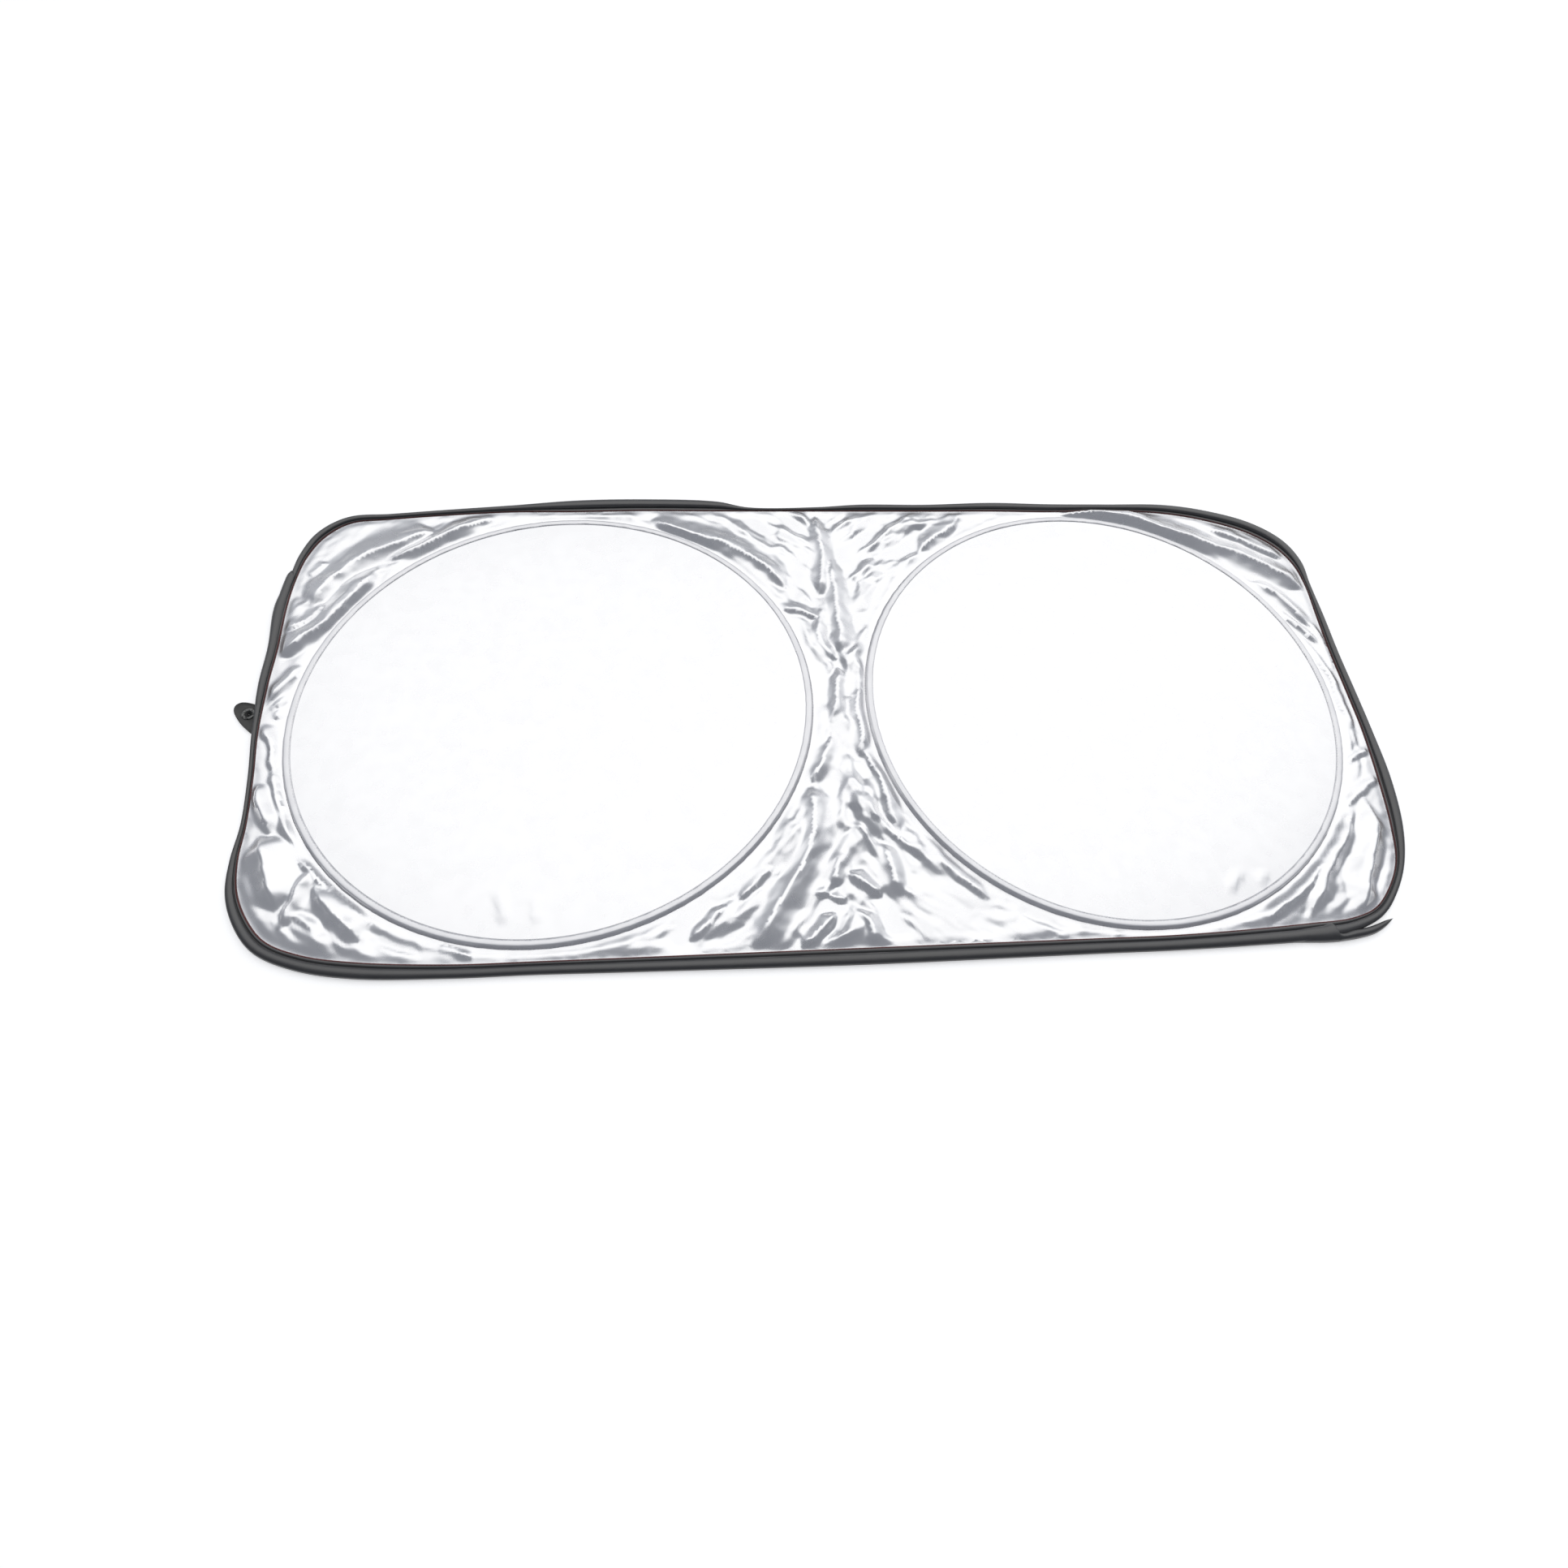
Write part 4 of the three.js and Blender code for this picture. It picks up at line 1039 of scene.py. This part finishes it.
# The eyelet is pressed steel with dark paint. The top of its rim is painted lighter grey in patches, a
# painted highlight where the ring catches the light. It goes through the tab: a rolled rim on top, a barrel
# in the hole, and a flat flange underneath. The roll ends in a narrow bore.
eye_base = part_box("tab_eyelet")[0].z
bore, barrel, flange = 0.8 * MM, 5 * MM, 8 * MM
flange_metal = 0.5 * MM
eye_sides = 64
eye_profile = [
    (bore, eye_base), (flange, eye_base), (flange, eye_base + flange_metal),
    (barrel, eye_base + flange_metal), (barrel, tab_top + 0.2 * MM), (flange, tab_top + 0.2 * MM),
    (flange - 0.2 * MM, tab_top + 0.7 * MM), (flange - 1.2 * MM, tab_top + 1.0 * MM),
    (flange - 2.6 * MM, tab_top + 0.9 * MM), (flange - 3.6 * MM, tab_top + 0.3 * MM),
    (3.2 * MM, tab_top - 0.1 * MM), (bore + 0.2 * MM, tab_top - 0.4 * MM),
]
paint = Finish("dark_paint_with_painted_highlight")
height = paint.part(paint.place(), "Z")
# Painted highlight: the top of the rim turns lighter grey, broken into patches by noise
rim_painted_highlight = height.between(tab_top + 0.1 * MM, tab_top + 0.7 * MM) * paint.noise(500, 4).between(0.3, 0.6)
paint_finish = paint.surface(
    Base_Color=paint.mixed(rim_painted_highlight, (0.012, 0.012, 0.012), (0.24, 0.24, 0.23)),
    Metallic=0.5,
    Roughness=0.38 + paint.noise(800, 2) * 0.2,
)

# The metal is drawn out ring by ring from the bore, and the last ring is joined to the first
bpy.ops.object.select_all(action="DESELECT")
bpy.ops.mesh.primitive_circle_add(vertices=eye_sides, radius=bore, location=(*eye_middle, eye_base),
                                  calc_uvs=False)
eyelet = bpy.context.object
eyelet.name = eyelet.data.name = "rolled_eyelet"
bpy.ops.object.mode_set(mode="EDIT")
for (out, up), (next_out, next_up) in zip(eye_profile, eye_profile[1:]):
    bpy.ops.mesh.extrude_region_move(TRANSFORM_OT_translate={"value": (0, 0, next_up - up)})
    bpy.ops.transform.resize(value=(next_out / out, next_out / out, 1),
                             center_override=(*eye_middle, next_up))
bpy.ops.mesh.select_all(action="DESELECT")
bpy.ops.mesh.select_non_manifold()
bpy.ops.mesh.bridge_edge_loops()
bpy.ops.mesh.select_all(action="SELECT")
bpy.ops.mesh.normals_make_consistent(inside=False)
bpy.ops.object.mode_set(mode="OBJECT")
bpy.ops.object.transform_apply(location=True, rotation=False, scale=False)
bpy.ops.object.shade_smooth()
eyelet.data.materials.append(paint_finish)
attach(eyelet, "root")
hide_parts("tab_eyelet")

bpy.context.view_layer.update()
